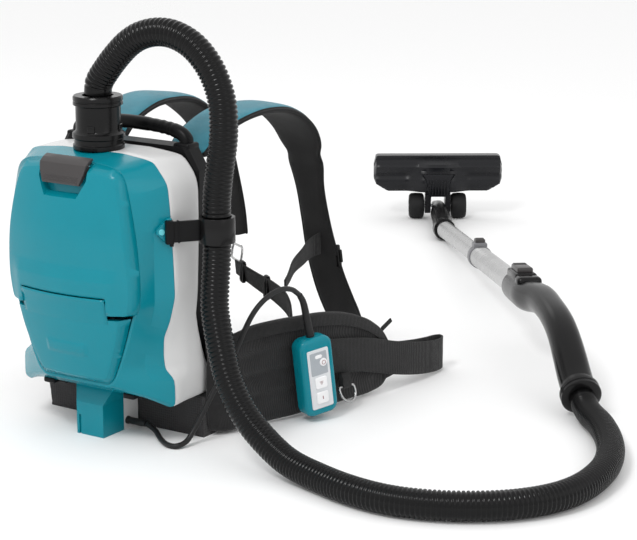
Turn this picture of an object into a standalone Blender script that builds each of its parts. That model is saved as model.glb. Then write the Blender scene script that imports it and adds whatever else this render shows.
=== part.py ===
"""Backpack vacuum cleaner, in metres.

X is the width of the pack, -Y its front cover, +Y the wearer's side, Z up. The origin is the middle of the
flat foot between the two battery bays, which stands on the floor. The wand lies on the floor behind the
pack, joined to it by the suction hose.
"""

import math

import bmesh
import bpy
from mathutils import Matrix, Vector

# ---------------------------------------------------------------- driving dimensions
GAP = 0.0003
WALL = 0.0026
COLUMNS = 6

COVER_RIM_Y = -0.0520
FRAME_FRONT_Y = -0.0517
FRAME_MID_Y = -0.0300
SHELL_SEAM_Y = -0.0120
SHELL_MID_Y = 0.0150
FACE_CREST_Y = -0.0800
FACE_CREST_Z = 0.235
PACK_BACK_Y = 0.0735
BACK_PLATE_HALF = 0.106

FOOT_HALF_WIDTH = 0.020
FOOT_FRONT_Y = -0.0305
FOOT_SPLIT_Y = 0.0086
FOOT_BACK_Y = 0.0360
BAY_ROOF_Z = 0.0615

HOSE_RADIUS = 0.0165
CABLE_RADIUS = 0.0032
PIPE_TOP_Z = 0.405
CLAMP_AXIS = (0.1515, 0.0220)
CLAMP_Z = (0.2455, 0.2755)

HINGE_AXIS = (-0.0640, 0.1625)
LATCH_AXIS = (-0.0600, 0.3345)

WAND_SOCKET = Vector((0.2396, 0.5990, 0.0820))
WAND_END = Vector((-0.1470, 1.0840, 0.0200))
HANDLE_TAIL = Vector((0.4610, 0.3470, 0.0262))
OUTER_PIPE_LENGTH = 0.280
OUTER_PIPE_RADIUS = 0.0160
INNER_PIPE_RADIUS = 0.0140
PIPE_WALL = 0.0014
PIPE_OVERLAP = 0.070
NOZZLE_AXLE = Vector((-0.2480, 1.2350, 0.0225))
NOZZLE_FORWARD = Vector((-0.5560, 0.8310, 0.0)).normalized()
NOZZLE_HALF_WIDTH = 0.1125
WHEEL_RADIUS = 0.0225
AXLE_RADIUS = 0.0030

REMOTE_CENTRE = Vector((0.1915, 0.1640, 0.0580))
REMOTE_SIZE = Vector((0.046, 0.024, 0.098))
REMOTE_TURN = math.radians(24.0)
REMOTE_ROLL = math.radians(7.0)

# Right-hand halves of the pack's outlines, as (x, z) from the top centre to the bottom centre.
COVER_RIM = [
    (0.040, 0.3372), (0.064, 0.3335), (0.0765, 0.3245), (0.083, 0.304), (0.088, 0.280), (0.0925, 0.254),
    (0.0955, 0.226), (0.097, 0.199), (0.0955, 0.178), (0.0915, 0.1675), (0.083, 0.1640),
]
PANEL_RIM = [(0.0825, 0.1610), (0.0735, 0.130), (0.0625, 0.100), (0.0545, 0.083), (0.047, 0.0767)]
FRAME_FRONT = [
    (0.040, 0.3372), (0.064, 0.3335), (0.0765, 0.3245), (0.083, 0.304), (0.088, 0.280), (0.0925, 0.254),
    (0.0955, 0.226), (0.097, 0.199), (0.0955, 0.178), (0.0915, 0.1675), (0.0865, 0.158), (0.0775, 0.130),
    (0.0665, 0.100), (0.0585, 0.083), (0.051, 0.0760), (0.045, 0.0735), (0.030, 0.0730),
]
FRAME_MID = [
    (0.042, 0.3410), (0.070, 0.3370), (0.086, 0.3290), (0.1005, 0.309), (0.1005, 0.285), (0.1005, 0.254),
    (0.1005, 0.226), (0.1005, 0.199), (0.1005, 0.177), (0.0965, 0.160), (0.0905, 0.140), (0.086, 0.118),
    (0.083, 0.100), (0.093, 0.084), (0.090, 0.064), (0.082, 0.0618), (0.050, 0.0615),
]
SEAM = [
    (0.044, 0.3430), (0.078, 0.3395), (0.090, 0.3365), (0.1085, 0.314), (0.1115, 0.285), (0.1135, 0.254),
    (0.1150, 0.226), (0.1160, 0.199), (0.1165, 0.182), (0.1085, 0.152), (0.0995, 0.132), (0.0985, 0.110),
    (0.1005, 0.095), (0.1140, 0.0835), (0.1145, 0.0525), (0.1040, 0.0485), (0.0880, BAY_ROOF_Z),
]
SHELL_MID = [
    (0.044, 0.3430), (0.080, 0.3400), (0.0925, 0.337), (0.1105, 0.314), (0.1130, 0.285), (0.1145, 0.254),
    (0.1155, 0.226), (0.1160, 0.199), (0.1165, 0.182), (0.1150, 0.152), (0.1130, 0.132), (0.1130, 0.110),
    (0.1140, 0.095), (0.1155, 0.0835), (0.1155, 0.0540), (0.1080, 0.0510), (0.0880, BAY_ROOF_Z),
]
# Back of the white shell, as (z, y).
SHELL_BACK = [(0.045, 0.061), (0.070, 0.061), (0.152, 0.036), (0.300, 0.048), (0.350, 0.048)]

# Cord routes, as hand-chosen points that one smooth curve runs through.
HOSE_ROUTE = [
    (0.000, 0.000, PIPE_TOP_Z + GAP), (0.003, 0.000, 0.4200), (0.015, 0.001, 0.4370),
    (0.0295, 0.003, 0.4540),
    (0.0445, 0.005, 0.4680), (0.0615, 0.007, 0.4775), (0.0820, 0.010, 0.4820), (0.1040, 0.012, 0.4800),
    (0.1265, 0.015, 0.4690), (0.1455, 0.017, 0.4495), (0.1575, 0.019, 0.4255), (0.1625, 0.021, 0.4000),
    (0.1620, 0.022, 0.3667), (0.1560, 0.022, 0.3285), (0.1520, 0.022, 0.2980), (0.1515, 0.022, 0.2755),
    (0.1515, 0.022, 0.2455), (0.1515, 0.020, 0.2180), (0.1530, 0.015, 0.1940), (0.1565, 0.009, 0.1720),
    (0.1640, 0.003, 0.1510), (0.1760, -0.005, 0.1240), (0.1910, -0.012, 0.0935), (0.2120, -0.017, 0.0650),
    (0.2400, -0.022, 0.0420), (0.2830, -0.031, 0.0220), (0.3370, -0.046, 0.0170), (0.3880, -0.059, 0.0168),
    (0.4340, -0.061, 0.0168), (0.4770, -0.050, 0.0168), (0.5150, -0.030, 0.0168), (0.5480, -0.003, 0.0168),
    (0.5720, 0.030, 0.0168), (0.5850, 0.066, 0.0168), (0.5880, 0.106, 0.0168), (0.5820, 0.155, 0.0168),
    (0.5660, 0.204, 0.0168), (0.5430, 0.248, 0.0168), (0.5140, 0.289, 0.0170), (0.4870, 0.318, 0.0172),
    (0.4745, 0.3317, 0.0194), (0.4621, 0.3457, 0.0256),
]
CABLE_ROUTE = [
    (0.0489, 0.0160, 0.0105), (0.0640, 0.0120, 0.0065), (0.0850, -0.0040, 0.0036),
    (0.1030, -0.0150, 0.0034),
    (0.1160, -0.0145, 0.0040), (0.1210, -0.0020, 0.0070), (0.1230, 0.0100, 0.0180),
    (0.1290, 0.0190, 0.0360),
    (0.1390, 0.0270, 0.0620), (0.1480, 0.0400, 0.0860), (0.1545, 0.0520, 0.1090), (0.1620, 0.0620, 0.1360),
    (0.1690, 0.0720, 0.1560), (0.1750, 0.0880, 0.1690), (0.1800, 0.1080, 0.1745), (0.1835, 0.1260, 0.1715),
    (0.1850, 0.1400, 0.1625),
]

# Shoulder strap stations: centre, and half width along X.
STRAP_NEAR = [
    ((0.062, 0.0860, 0.3300), 0.027), ((0.066, 0.1100, 0.3500), 0.030), ((0.073, 0.1450, 0.3650), 0.033),
    ((0.081, 0.1850, 0.3710), 0.034), ((0.088, 0.2300, 0.3640), 0.033), ((0.091, 0.2700, 0.3380), 0.032),
    ((0.090, 0.2950, 0.3000), 0.027), ((0.089, 0.3100, 0.2560), 0.020), ((0.090, 0.3220, 0.2100), 0.020),
    ((0.095, 0.3280, 0.1700), 0.022), ((0.108, 0.3280, 0.1300), 0.022), ((0.130, 0.3200, 0.0980), 0.020),
    ((0.152, 0.3080, 0.0800), 0.016),
]
STRAP_FAR = [
    ((-0.062, 0.0860, 0.3300), 0.027), ((-0.066, 0.1100, 0.3500), 0.030), ((-0.068, 0.1450, 0.3650), 0.033),
    ((-0.066, 0.1850, 0.3710), 0.034), ((-0.060, 0.2300, 0.3640), 0.033), ((-0.050, 0.2650, 0.3380), 0.030),
    ((-0.040, 0.2860, 0.3000), 0.024), ((-0.030, 0.2960, 0.2560), 0.018), ((-0.020, 0.2980, 0.2150), 0.015),
    ((-0.012, 0.2950, 0.1800), 0.013),
]
# Belt wing stations: outer point (x, y), inner point (x, y), bottom z and top z.
BELT_WING = [
    ((0.1184, 0.0390), (0.1184, 0.0930), 0.0005, 0.117), ((0.1310, 0.0480), (0.1270, 0.0950), 0.0, 0.119),
    ((0.1410, 0.0660), (0.1290, 0.0990), 0.0, 0.123), ((0.1500, 0.1000), (0.1345, 0.1050), 0.0, 0.127),
    ((0.1610, 0.1320), (0.1455, 0.1370), 0.0, 0.128), ((0.1705, 0.1620), (0.1550, 0.1665), 0.0, 0.127),
    ((0.1800, 0.1980), (0.1640, 0.2020), 0.0, 0.125), ((0.1885, 0.2330), (0.1725, 0.2365), 0.0, 0.119),
    ((0.1960, 0.2650), (0.1800, 0.2680), 0.0, 0.108), ((0.2005, 0.2860), (0.1850, 0.2885), 0.001, 0.096),
    ((0.2040, 0.3040), (0.1900, 0.3060), 0.006, 0.080), ((0.2060, 0.3160), (0.1960, 0.3170), 0.018, 0.058),
]

COLOURS = {
    "teal_plastic": ((0.010, 0.310, 0.380), 0.28, 0.0),
    "white_plastic": ((0.820, 0.820, 0.820), 0.35, 0.0),
    "black_plastic": ((0.018, 0.018, 0.020), 0.45, 0.0),
    "rubber": ((0.012, 0.012, 0.012), 0.80, 0.0),
    "steel": ((0.620, 0.620, 0.620), 0.25, 1.0),
    "aluminium": ((0.720, 0.730, 0.750), 0.30, 1.0),
    "teal_fabric": ((0.040, 0.230, 0.280), 0.85, 0.0),
    "black_fabric": ((0.020, 0.020, 0.021), 0.90, 0.0),
    "paper": ((0.600, 0.520, 0.400), 0.90, 0.0),
    "pale_plastic": ((0.600, 0.620, 0.640), 0.40, 0.0),
    "board_green": ((0.020, 0.180, 0.060), 0.60, 0.0),
}


# ---------------------------------------------------------------- scene and mesh helpers
def clear_scene():
    for obj in list(bpy.data.objects):
        bpy.data.objects.remove(obj, do_unlink=True)


def material(name):
    found = bpy.data.materials.get(name)
    if found:
        return found
    colour, roughness, metallic = COLOURS[name]
    made = bpy.data.materials.new(name)
    made.use_nodes = True
    shader = made.node_tree.nodes["Principled BSDF"]
    shader.inputs["Base Color"].default_value = (*colour, 1.0)
    shader.inputs["Roughness"].default_value = roughness
    shader.inputs["Metallic"].default_value = metallic
    return made


def add_mesh(name, points, faces, colour, origin=(0.0, 0.0, 0.0)):
    """One object whose faces point out, with its own origin."""
    shift = Vector(origin)
    body = bmesh.new()
    verts = [body.verts.new(Vector(point) - shift) for point in points]
    for face in faces:
        body.faces.new([verts[index] for index in face])
    bmesh.ops.triangulate(body, faces=body.faces)
    bmesh.ops.recalc_face_normals(body, faces=body.faces)
    mesh = bpy.data.meshes.new(name)
    body.to_mesh(mesh)
    body.free()
    mesh.shade_smooth()
    mesh.set_sharp_from_angle(angle=math.radians(35.0))
    obj = bpy.data.objects.new(name, mesh)
    obj.location = shift
    if colour:
        mesh.materials.append(material(colour))
    bpy.context.scene.collection.objects.link(obj)
    return obj


def loft(name, rings, colour, closed=False, caps=None, origin=(0.0, 0.0, 0.0)):
    """Rings of equal length joined in order; a closed loft joins the last ring to the first.

    caps may hold two functions that return extra points and faces for the first and the last ring.
    """
    count = len(rings[0])
    points = [Vector(point) for ring in rings for point in ring]
    faces = []
    spans = len(rings) if closed else len(rings) - 1
    for step in range(spans):
        here = step * count
        there = ((step + 1) % len(rings)) * count
        for side in range(count):
            after = (side + 1) % count
            faces.append((here + side, here + after, there + after, there + side))
    if not closed:
        ends = [list(range(count)), list(range(len(points) - count, len(points)))]
        makers = caps or (None, None)
        for ring_index, maker in zip(ends, makers):
            if maker is None:
                faces.append(tuple(ring_index))
                continue
            extra, extra_faces = maker([points[index] for index in ring_index])
            table = ring_index + list(range(len(points), len(points) + len(extra)))
            points.extend(extra)
            faces.extend(tuple(table[index] for index in face) for face in extra_faces)
    return add_mesh(name, points, faces, colour, origin)


def box(name, low, high, colour, bevel=0.0, segments=1, frame=None, origin=(0.0, 0.0, 0.0)):
    """A box between two corners, with all its edges bevelled, placed by an optional frame matrix."""
    body = bmesh.new()
    bmesh.ops.create_cube(body, size=1.0)
    size = Vector(high) - Vector(low)
    middle = (Vector(high) + Vector(low)) / 2
    for vert in body.verts:
        vert.co = Vector((vert.co.x * size.x, vert.co.y * size.y, vert.co.z * size.z)) + middle
    if bevel:
        bmesh.ops.bevel(
            body, geom=body.edges[:], offset=bevel, segments=segments, affect="EDGES", profile=0.5
        )
    points = [vert.co.copy() for vert in body.verts]
    faces = [tuple(vert.index for vert in face.verts) for face in body.faces]
    body.free()
    if frame:
        points = [frame @ point for point in points]
    return add_mesh(name, points, faces, colour, origin)


def prism(name, outline, low, high, colour, frame=None, origin=(0.0, 0.0, 0.0)):
    """An outline of (y, z) points, extruded along X from low to high."""
    rings = [[Vector((x, y, z)) for y, z in outline] for x in (low, high)]
    if frame:
        rings = [[frame @ point for point in ring] for ring in rings]
    return loft(name, rings, colour, origin=origin)


def turned(name, centre, axis, profile, colour, sides=24, origin=None, hollow=False):
    """A profile of (radius, height) points turned round an axis; a hollow profile is a closed loop."""
    along = Vector(axis).normalized()
    across = along.orthogonal().normalized()
    third = along.cross(across)
    base = Vector(centre)
    rings = []
    for radius, height in profile:
        ring = []
        for side in range(sides):
            angle = 2 * math.pi * side / sides
            out = across * math.cos(angle) + third * math.sin(angle)
            ring.append(base + along * height + out * radius)
        rings.append(ring)
    return loft(name, rings, colour, closed=hollow, origin=origin or (0.0, 0.0, 0.0))


def tube_rings(path, radii, sides, up=Vector((0.0, 0.0, 1.0))):
    """Rings square to a path, with their first point on the upper side."""
    rings = []
    for index, (point, radius) in enumerate(zip(path, radii)):
        before = path[max(index - 1, 0)]
        after = path[min(index + 1, len(path) - 1)]
        along = (Vector(after) - Vector(before)).normalized()
        across = along.cross(up).normalized()
        top = across.cross(along)
        rings.append([
            Vector(point) + (top * math.cos(angle) + across * math.sin(angle)) * radius
            for angle in (2 * math.pi * side / sides for side in range(sides))
        ])
    return rings


def cut(obj, cutter, operation="DIFFERENCE"):
    modifier = obj.modifiers.new(f"{operation.lower()}_{cutter.name}", "BOOLEAN")
    modifier.object = cutter
    modifier.operation = operation
    modifier.solver = "EXACT"
    cutter.hide_render = True
    cutter.display_type = "WIRE"


def smooth_route(route, spacing):
    """Points about one spacing apart on a Catmull-Rom curve through the route's points."""
    knots = [Vector(point) for point in route]
    knots = [2 * knots[0] - knots[1]] + knots + [2 * knots[-1] - knots[-2]]
    fine = []
    for index in range(1, len(knots) - 2):
        p0, p1, p2, p3 = knots[index - 1:index + 3]
        for step in range(12):
            t = step / 12
            fine.append(0.5 * (
                2 * p1 + (p2 - p0) * t + (2 * p0 - 5 * p1 + 4 * p2 - p3) * t * t
                + (3 * p1 - p0 - 3 * p2 + p3) * t ** 3
            ))
    fine.append(knots[-2])
    length = sum((b - a).length for a, b in zip(fine, fine[1:]))
    count = max(2, round(length / spacing))
    wanted = [length * step / count for step in range(1, count)]
    chosen = [fine[0]]
    walked = 0.0
    for a, b in zip(fine, fine[1:]):
        run = (b - a).length
        while wanted and wanted[0] <= walked + run:
            chosen.append(a.lerp(b, (wanted.pop(0) - walked) / run))
        walked += run
    return chosen + [fine[-1]]


def cord(name, route, radius, spacing, colour, resolution):
    curve = bpy.data.curves.new(name, "CURVE")
    curve.dimensions = "3D"
    curve.bevel_depth = radius
    curve.bevel_resolution = resolution
    curve.use_fill_caps = True
    points = smooth_route(route, spacing)
    spline = curve.splines.new("POLY")
    spline.points.add(len(points) - 1)
    for spot, point in zip(spline.points, points):
        spot.co = (*point, 1.0)
    curve.materials.append(material(colour))
    obj = bpy.data.objects.new(name, curve)
    bpy.context.scene.collection.objects.link(obj)
    return obj


# ---------------------------------------------------------------- pack shell helpers
def face_y(x, z):
    """The front face, crowned across the width and leaning back towards the top and the bottom."""
    lean = 1.5 if z > FACE_CREST_Z else 0.85
    return FACE_CREST_Y + 2.0 * x * x + lean * (z - FACE_CREST_Z) ** 2


def shell_back_y(z):
    for (low, y_low), (high, y_high) in zip(SHELL_BACK, SHELL_BACK[1:]):
        if z <= high:
            return y_low + (y_high - y_low) * (z - low) / (high - low)
    return SHELL_BACK[-1][1]


def full_outline(half):
    """The right half, the bottom edge in columns, the left half and the top edge in columns."""
    right = list(half)
    left = [(-x, z) for x, z in reversed(half)]
    steps = [1 - 2 * column / COLUMNS for column in range(1, COLUMNS)]
    bottom = [(half[-1][0] * step, half[-1][1]) for step in steps]
    top = [(-half[0][0] * step, half[0][1]) for step in steps]
    return right + bottom + left + top


def inset(outline, distance):
    """The closed outline moved inwards by a distance."""
    moved = []
    count = len(outline)
    for index, here in enumerate(outline):
        before = Vector(outline[index - 1])
        after = Vector(outline[(index + 1) % count])
        spot = Vector(here)
        edges = ((spot - before).normalized(), (after - spot).normalized())
        normals = [Vector((edge.y, -edge.x)) for edge in edges]
        middle = normals[0] + normals[1]
        middle.normalize()
        reach = distance / max(middle.dot(normals[0]), 0.5)
        moved.append(tuple(spot + middle * reach))
    return moved


def ring_at(outline, depth):
    """The outline as a ring, at a fixed Y or at the Y that a function of x and z gives."""
    if callable(depth):
        return [Vector((x, depth(x, z), z)) for x, z in outline]
    return [Vector((x, depth, z)) for x, z in outline]


def grid_cap(half_count, depth):
    """A cap of rungs between the right and the left half, divided into columns on a surface."""

    def make(ring):
        def rung_ends(rung):
            return rung, 2 * half_count + COLUMNS - 2 - rung

        rows = []
        extra = []
        first_left = 2 * half_count + COLUMNS - 1
        for rung in range(half_count):
            right, left = rung_ends(rung)
            if rung == 0:
                inner = [first_left + COLUMNS - 2 - step for step in range(COLUMNS - 1)]
            elif rung == half_count - 1:
                inner = [half_count + step for step in range(COLUMNS - 1)]
            else:
                inner = []
                for column in range(1, COLUMNS):
                    spot = ring[right].lerp(ring[left], column / COLUMNS)
                    spot.y = depth(spot.x, spot.z)
                    inner.append(len(ring) + len(extra))
                    extra.append(spot)
            rows.append([right] + inner + [left])
        faces = []
        for upper, lower in zip(rows, rows[1:]):
            for column in range(COLUMNS):
                faces.append((upper[column], upper[column + 1], lower[column + 1], lower[column]))
        return extra, faces

    return make


def crowned_tray(name, half, rim_y, edge, colour):
    """A tray open to the back, whose front follows face_y and rounds over to its rim."""
    outline = full_outline(half)
    inner = inset(outline, WALL)

    def inner_face(x, z):
        return face_y(x, z) + WALL

    def shoulder(x, z):
        return rim_y + 0.72 * (face_y(x, z) - rim_y)

    def inner_shoulder(x, z):
        return shoulder(x, z) + WALL

    rings = [
        ring_at(inset(outline, edge + 0.0010), inner_face),
        ring_at(inset(outline, 0.35 * edge + WALL), inner_shoulder),
        ring_at(inner, rim_y),
        ring_at(outline, rim_y),
        ring_at(inset(outline, 0.30 * edge), shoulder),
        ring_at(inset(outline, edge), face_y),
    ]
    caps = (grid_cap(len(half), inner_face), grid_cap(len(half), face_y))
    return loft(name, rings, colour, caps=caps)


# ---------------------------------------------------------------- pack
def front_cover():
    cover = crowned_tray("front_cover", COVER_RIM, COVER_RIM_Y, 0.008, "teal_plastic")
    block = box("latch_block", (-0.0400, -0.0640, 0.2940), (0.0400, -0.0530, 0.3300), None)
    pocket = box("latch_pocket", (-0.0352, -0.0900, 0.2975), (0.0352, -0.0548, 0.3600), None)
    tongue_gap = box("tongue_gap", (-0.0623, -0.0900, 0.1500), (0.0623, -0.0400, 0.1862), None)
    cut(cover, block, "UNION")
    cut(cover, pocket)
    cut(cover, tongue_gap)
    place_origin(cover, (0.0, *HINGE_AXIS))


def place_origin(obj, origin):
    """Moves the object's origin without moving its mesh."""
    shift = Vector(origin) - obj.location
    obj.data.transform(Matrix.Translation(-shift))
    obj.location = origin


def cover_seal():
    outer = inset(full_outline(COVER_RIM), WALL + 0.0021)
    inner = inset(full_outline(COVER_RIM), WALL + 0.0040)
    rings = [
        ring_at(outer, -0.0535), ring_at(outer, -0.0521), ring_at(inner, -0.0521), ring_at(inner, -0.0535)
    ]
    seal = loft("cover_seal", rings, "rubber", closed=True)
    place_origin(seal, (0.0, *HINGE_AXIS))


def latch():
    outline = [
        (-0.0706, 0.3135), (-0.0676, 0.3260), (-0.0652, 0.3365), (-0.0620, 0.3402), (-0.0585, 0.3405),
        (-0.0567, 0.3375), (-0.0572, 0.3320), (-0.0605, 0.3290), (-0.0672, 0.3135),
    ]
    lever = prism("latch", outline, -0.0335, 0.0335, "black_plastic", origin=(0.0, *LATCH_AXIS))
    bore = turned(
        "latch_bore", (-0.0390, *LATCH_AXIS), (1, 0, 0), [(0.0016, 0.0), (0.0016, 0.0780)], None, sides=12
    )
    cut(lever, bore)
    turned(
        "latch_pin", (-0.0348, *LATCH_AXIS), (1, 0, 0), [(0.0012, 0.0), (0.0012, 0.0696)], "steel", sides=12
    )


def lower_front_panel():
    panel = crowned_tray("lower_front_panel", PANEL_RIM, COVER_RIM_Y + 0.0002, 0.006, "teal_plastic")
    rings = []
    for z in (0.1500, 0.1620, 0.1730, 0.1835):
        xs = [0.0617 * (column - 4) / 4 for column in range(9)]
        front = [Vector((x, face_y(x, z) + 0.0003, z)) for x in xs]
        back = [Vector((x, face_y(x, z) + 0.0023, z)) for x in reversed(xs)]
        rings.append(front + back)
    cut(panel, loft("panel_tongue", rings, None), "UNION")


def hinge_pin():
    turned(
        "hinge_pin", (-0.080, *HINGE_AXIS), (1, 0, 0), [(0.0011, 0.0), (0.0011, 0.160)], "steel", sides=12
    )


def front_housing(hole):
    outlines = [full_outline(FRAME_FRONT), full_outline(FRAME_MID), full_outline(SEAM)]
    depths = [FRAME_FRONT_Y + GAP, FRAME_MID_Y, SHELL_SEAM_Y - GAP / 2]
    rings = [ring_at(outline, depth) for outline, depth in zip(outlines, depths)]
    rings += [ring_at(inset(outline, WALL), depth) for outline, depth in zip(outlines[::-1], depths[::-1])]
    frame = loft("front_housing", rings, "teal_plastic", closed=True)
    cut(frame, hole)


def rear_housing(hole):
    seam_y = SHELL_SEAM_Y + GAP / 2
    seam = full_outline(SEAM)
    middle = full_outline(SHELL_MID)

    def near_back(x, z):
        return shell_back_y(z) - 0.009

    def back(x, z):
        return shell_back_y(z)

    def inner_near_back(x, z):
        return shell_back_y(z) - 0.010

    def inner_back(x, z):
        return shell_back_y(z) - WALL

    rings = [
        ring_at(inset(middle, 0.0095), inner_back),
        ring_at(inset(middle, WALL), inner_near_back),
        ring_at(inset(middle, WALL), SHELL_MID_Y),
        ring_at(inset(seam, WALL), seam_y),
        ring_at(seam, seam_y),
        ring_at(middle, SHELL_MID_Y),
        ring_at(middle, near_back),
        ring_at(inset(middle, 0.007), back),
    ]
    half = len(SEAM)
    caps = (grid_cap(half, inner_back), grid_cap(half, back))
    shell = loft("rear_housing", rings, "white_plastic", caps=caps)
    cut(shell, hole)


def housings():
    hole = turned("inlet_hole", (0, 0, 0.320), (0, 0, 1), [(0.0222, 0.0), (0.0222, 0.040)], None, sides=24)
    front_housing(hole)
    rear_housing(hole)


def back_plate():
    rings = []
    for z in (0.060, 0.070, 0.152, 0.225, 0.300, 0.318, 0.3445):
        half = BACK_PLATE_HALF - max(0.0, z - 0.318) * 0.60
        front = shell_back_y(z) + GAP
        rings.append([
            Vector((-half, front + 0.003, z)), Vector((-half + 0.006, front, z)),
            Vector((half - 0.006, front, z)), Vector((half, front + 0.003, z)),
            Vector((half, PACK_BACK_Y - 0.003, z)), Vector((half - 0.005, PACK_BACK_Y, z)),
            Vector((-half + 0.005, PACK_BACK_Y, z)), Vector((-half, PACK_BACK_Y - 0.003, z)),
        ])
    loft("back_plate", rings, "black_plastic")


def battery_foot():
    """The foot between the bays: its front leans back and widens below the bay roof."""
    levels = [
        (0.0, FOOT_HALF_WIDTH, FOOT_FRONT_Y), (0.040, FOOT_HALF_WIDTH, FOOT_FRONT_Y),
        (0.0575, 0.0275, -0.0205), (BAY_ROOF_Z - GAP, 0.0275, -0.0205),
    ]
    rings = [
        [Vector((-half, y, z)), Vector((half, y, z)), Vector((half, FOOT_SPLIT_Y, z)),
         Vector((-half, FOOT_SPLIT_Y, z))]
        for z, half, y in levels
    ]
    front = loft("divider_front", rings, "teal_plastic")
    groove = box("divider_groove", (-0.0165, FOOT_FRONT_Y - 0.004, -0.01), (-0.0135, -0.0285, 0.024), None)
    cut(front, groove)
    half = FOOT_HALF_WIDTH
    low = (-half, FOOT_SPLIT_Y + GAP, 0.0)
    rear = box("divider_rear", low, (half, FOOT_BACK_Y, BAY_ROOF_Z - GAP), "white_plastic")
    gland = turned(
        "gland_hole", (half - 0.006, 0.016, 0.0105), (1, 0, 0), [(0.0052, 0.0), (0.0052, 0.020)], None,
        sides=16,
    )
    cut(rear, gland)
    sleeve = [(0.0048, 0.0), (0.0048, 0.0075), (0.0042, 0.0095), (0.0042, 0.0270), (0.0036, 0.0332)]
    turned("pack_strain_relief", (half - 0.0056, 0.016, 0.0105), (1, 0, 0), sleeve, "rubber", sides=14)
    for side, name in ((-1, "battery_terminal_left"), (1, "battery_terminal_right")):
        xs = sorted((side * 0.046, side * 0.070))
        box(name, (xs[0], -0.0180, 0.0535), (xs[1], 0.020, BAY_ROOF_Z - GAP), "black_plastic", bevel=0.0008)


def hose_inlet():
    profile = [
        (0.0183, 0.3434), (0.0310, 0.3434), (0.0310, 0.3520), (0.0295, 0.3540), (0.0262, 0.3550),
        (0.0262, 0.3930), (0.0290, 0.3945), (0.0290, 0.4030), (0.0275, PIPE_TOP_Z), (0.0183, PIPE_TOP_Z),
    ]
    turned("inlet_pipe", (0, 0, 0), (0, 0, 1), profile, "black_plastic", sides=28, hollow=True)


def carry_handle():
    path = [
        (-0.0800, 0.062, 0.3455), (-0.0790, 0.0625, 0.3520), (-0.069, 0.063, 0.3585),
        (-0.045, 0.064, 0.3625),
        (0.0, 0.064, 0.3645), (0.045, 0.064, 0.3625), (0.069, 0.063, 0.3585), (0.0790, 0.0625, 0.3520),
        (0.0800, 0.062, 0.3455),
    ]
    radii = [0.0085, 0.0085, 0.0083, 0.0082, 0.0082, 0.0082, 0.0083, 0.0085, 0.0085]
    rings = tube_rings(path, radii, 12, up=Vector((0.0, 1.0, 0.0)))
    for ring in (rings[0], rings[-1]):
        for point in ring:
            point.z = 0.3449
    loft("carry_handle", rings, "black_plastic")


def hose_holder():
    """The bracket stands on the slanted side facet and carries the ring that keeps the hose."""
    facet = Vector((0.0140, 0.0180, 0.0)).normalized()
    out = Vector((facet.y, -facet.x, 0.0))
    root = Vector((0.1078, -0.0209, 0.2610))
    place = Matrix((
        (facet.x, out.x, 0.0, root.x), (facet.y, out.y, 0.0, root.y), (0.0, 0.0, 1.0, root.z), (0, 0, 0, 1)
    ))
    plate = [(-0.0085, 0.0), (0.0045, 0.0145), (0.0085, 0.0145), (0.0085, -0.0145), (0.0045, -0.0145)]
    rings = [[place @ Vector((x, y, z)) for x, z in plate] for y in (0.0002, 0.0050)]
    loft("hose_bracket", rings, "teal_plastic")
    arm_start = place @ Vector((0.0030, 0.0085, 0.0))
    ring_centre = Vector((*CLAMP_AXIS, arm_start.z))
    along = ring_centre - arm_start
    reach = along.length - 0.0216
    along.normalize()
    side = Vector((-along.y, along.x, 0.0))
    rings = []
    for step in (0.0, 0.5, 1.0):
        spot = arm_start + along * reach * step
        half = 0.0030 - 0.0008 * step
        edges = (spot - side * half, spot + side * half)
        low = CLAMP_Z[0] + 0.0035
        high = CLAMP_Z[1] - 0.0035
        rings.append([
            Vector((edges[0].x, edges[0].y, low)), Vector((edges[1].x, edges[1].y, low)),
            Vector((edges[1].x, edges[1].y, high)), Vector((edges[0].x, edges[0].y, high)),
        ])
    loft("clamp_arm", rings, "black_plastic")
    height = CLAMP_Z[1] - CLAMP_Z[0]
    profile = [(0.0173, 0.0), (0.0209, 0.0), (0.0209, height), (0.0173, height)]
    base = (*CLAMP_AXIS, CLAMP_Z[0])
    turned("clamp_ring", base, (0, 0, 1), profile, "black_plastic", sides=28, hollow=True)


def inner_works():
    box("dust_bag", (-0.068, -0.050, 0.188), (0.068, -0.015, 0.318), "paper", bevel=0.012, segments=2)
    box("hepa_filter", (-0.072, -0.010, 0.190), (0.072, 0.012, 0.300), "paper", bevel=0.002)
    motor = Vector((0.0, -0.014, 0.0))
    can = [
        (0.0060, 0.080), (0.034, 0.080), (0.034, 0.140), (0.0060, 0.140), (0.0060, 0.136), (0.030, 0.136),
        (0.030, 0.084), (0.0060, 0.084),
    ]
    turned("motor_can", motor, (0, 0, 1), can, "steel", sides=20, hollow=True)
    spin = (motor.x, motor.y, 0.150)
    shaft = [(0.0045, 0.081), (0.0045, 0.1585)]
    turned("motor_shaft", motor, (0, 0, 1), shaft, "steel", sides=12, origin=spin)
    profile = [(0.0049, 0.145), (0.033, 0.145), (0.033, 0.1475), (0.013, 0.160), (0.0049, 0.160)]
    turned("impeller", motor, (0, 0, 1), profile, "black_plastic", sides=20, origin=spin, hollow=True)


# ---------------------------------------------------------------- wand
def frame_on(origin, along, up=Vector((0, 0, 1))):
    """A frame whose Y runs along, whose X is level to the right and whose Z is up."""
    side = along.cross(up).normalized()
    top = side.cross(along)
    return Matrix((
        (side.x, along.x, top.x, origin.x), (side.y, along.y, top.y, origin.y),
        (side.z, along.z, top.z, origin.z), (0, 0, 0, 1)
    ))


def wand_axis():
    return (WAND_END - WAND_SOCKET).normalized()


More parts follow.
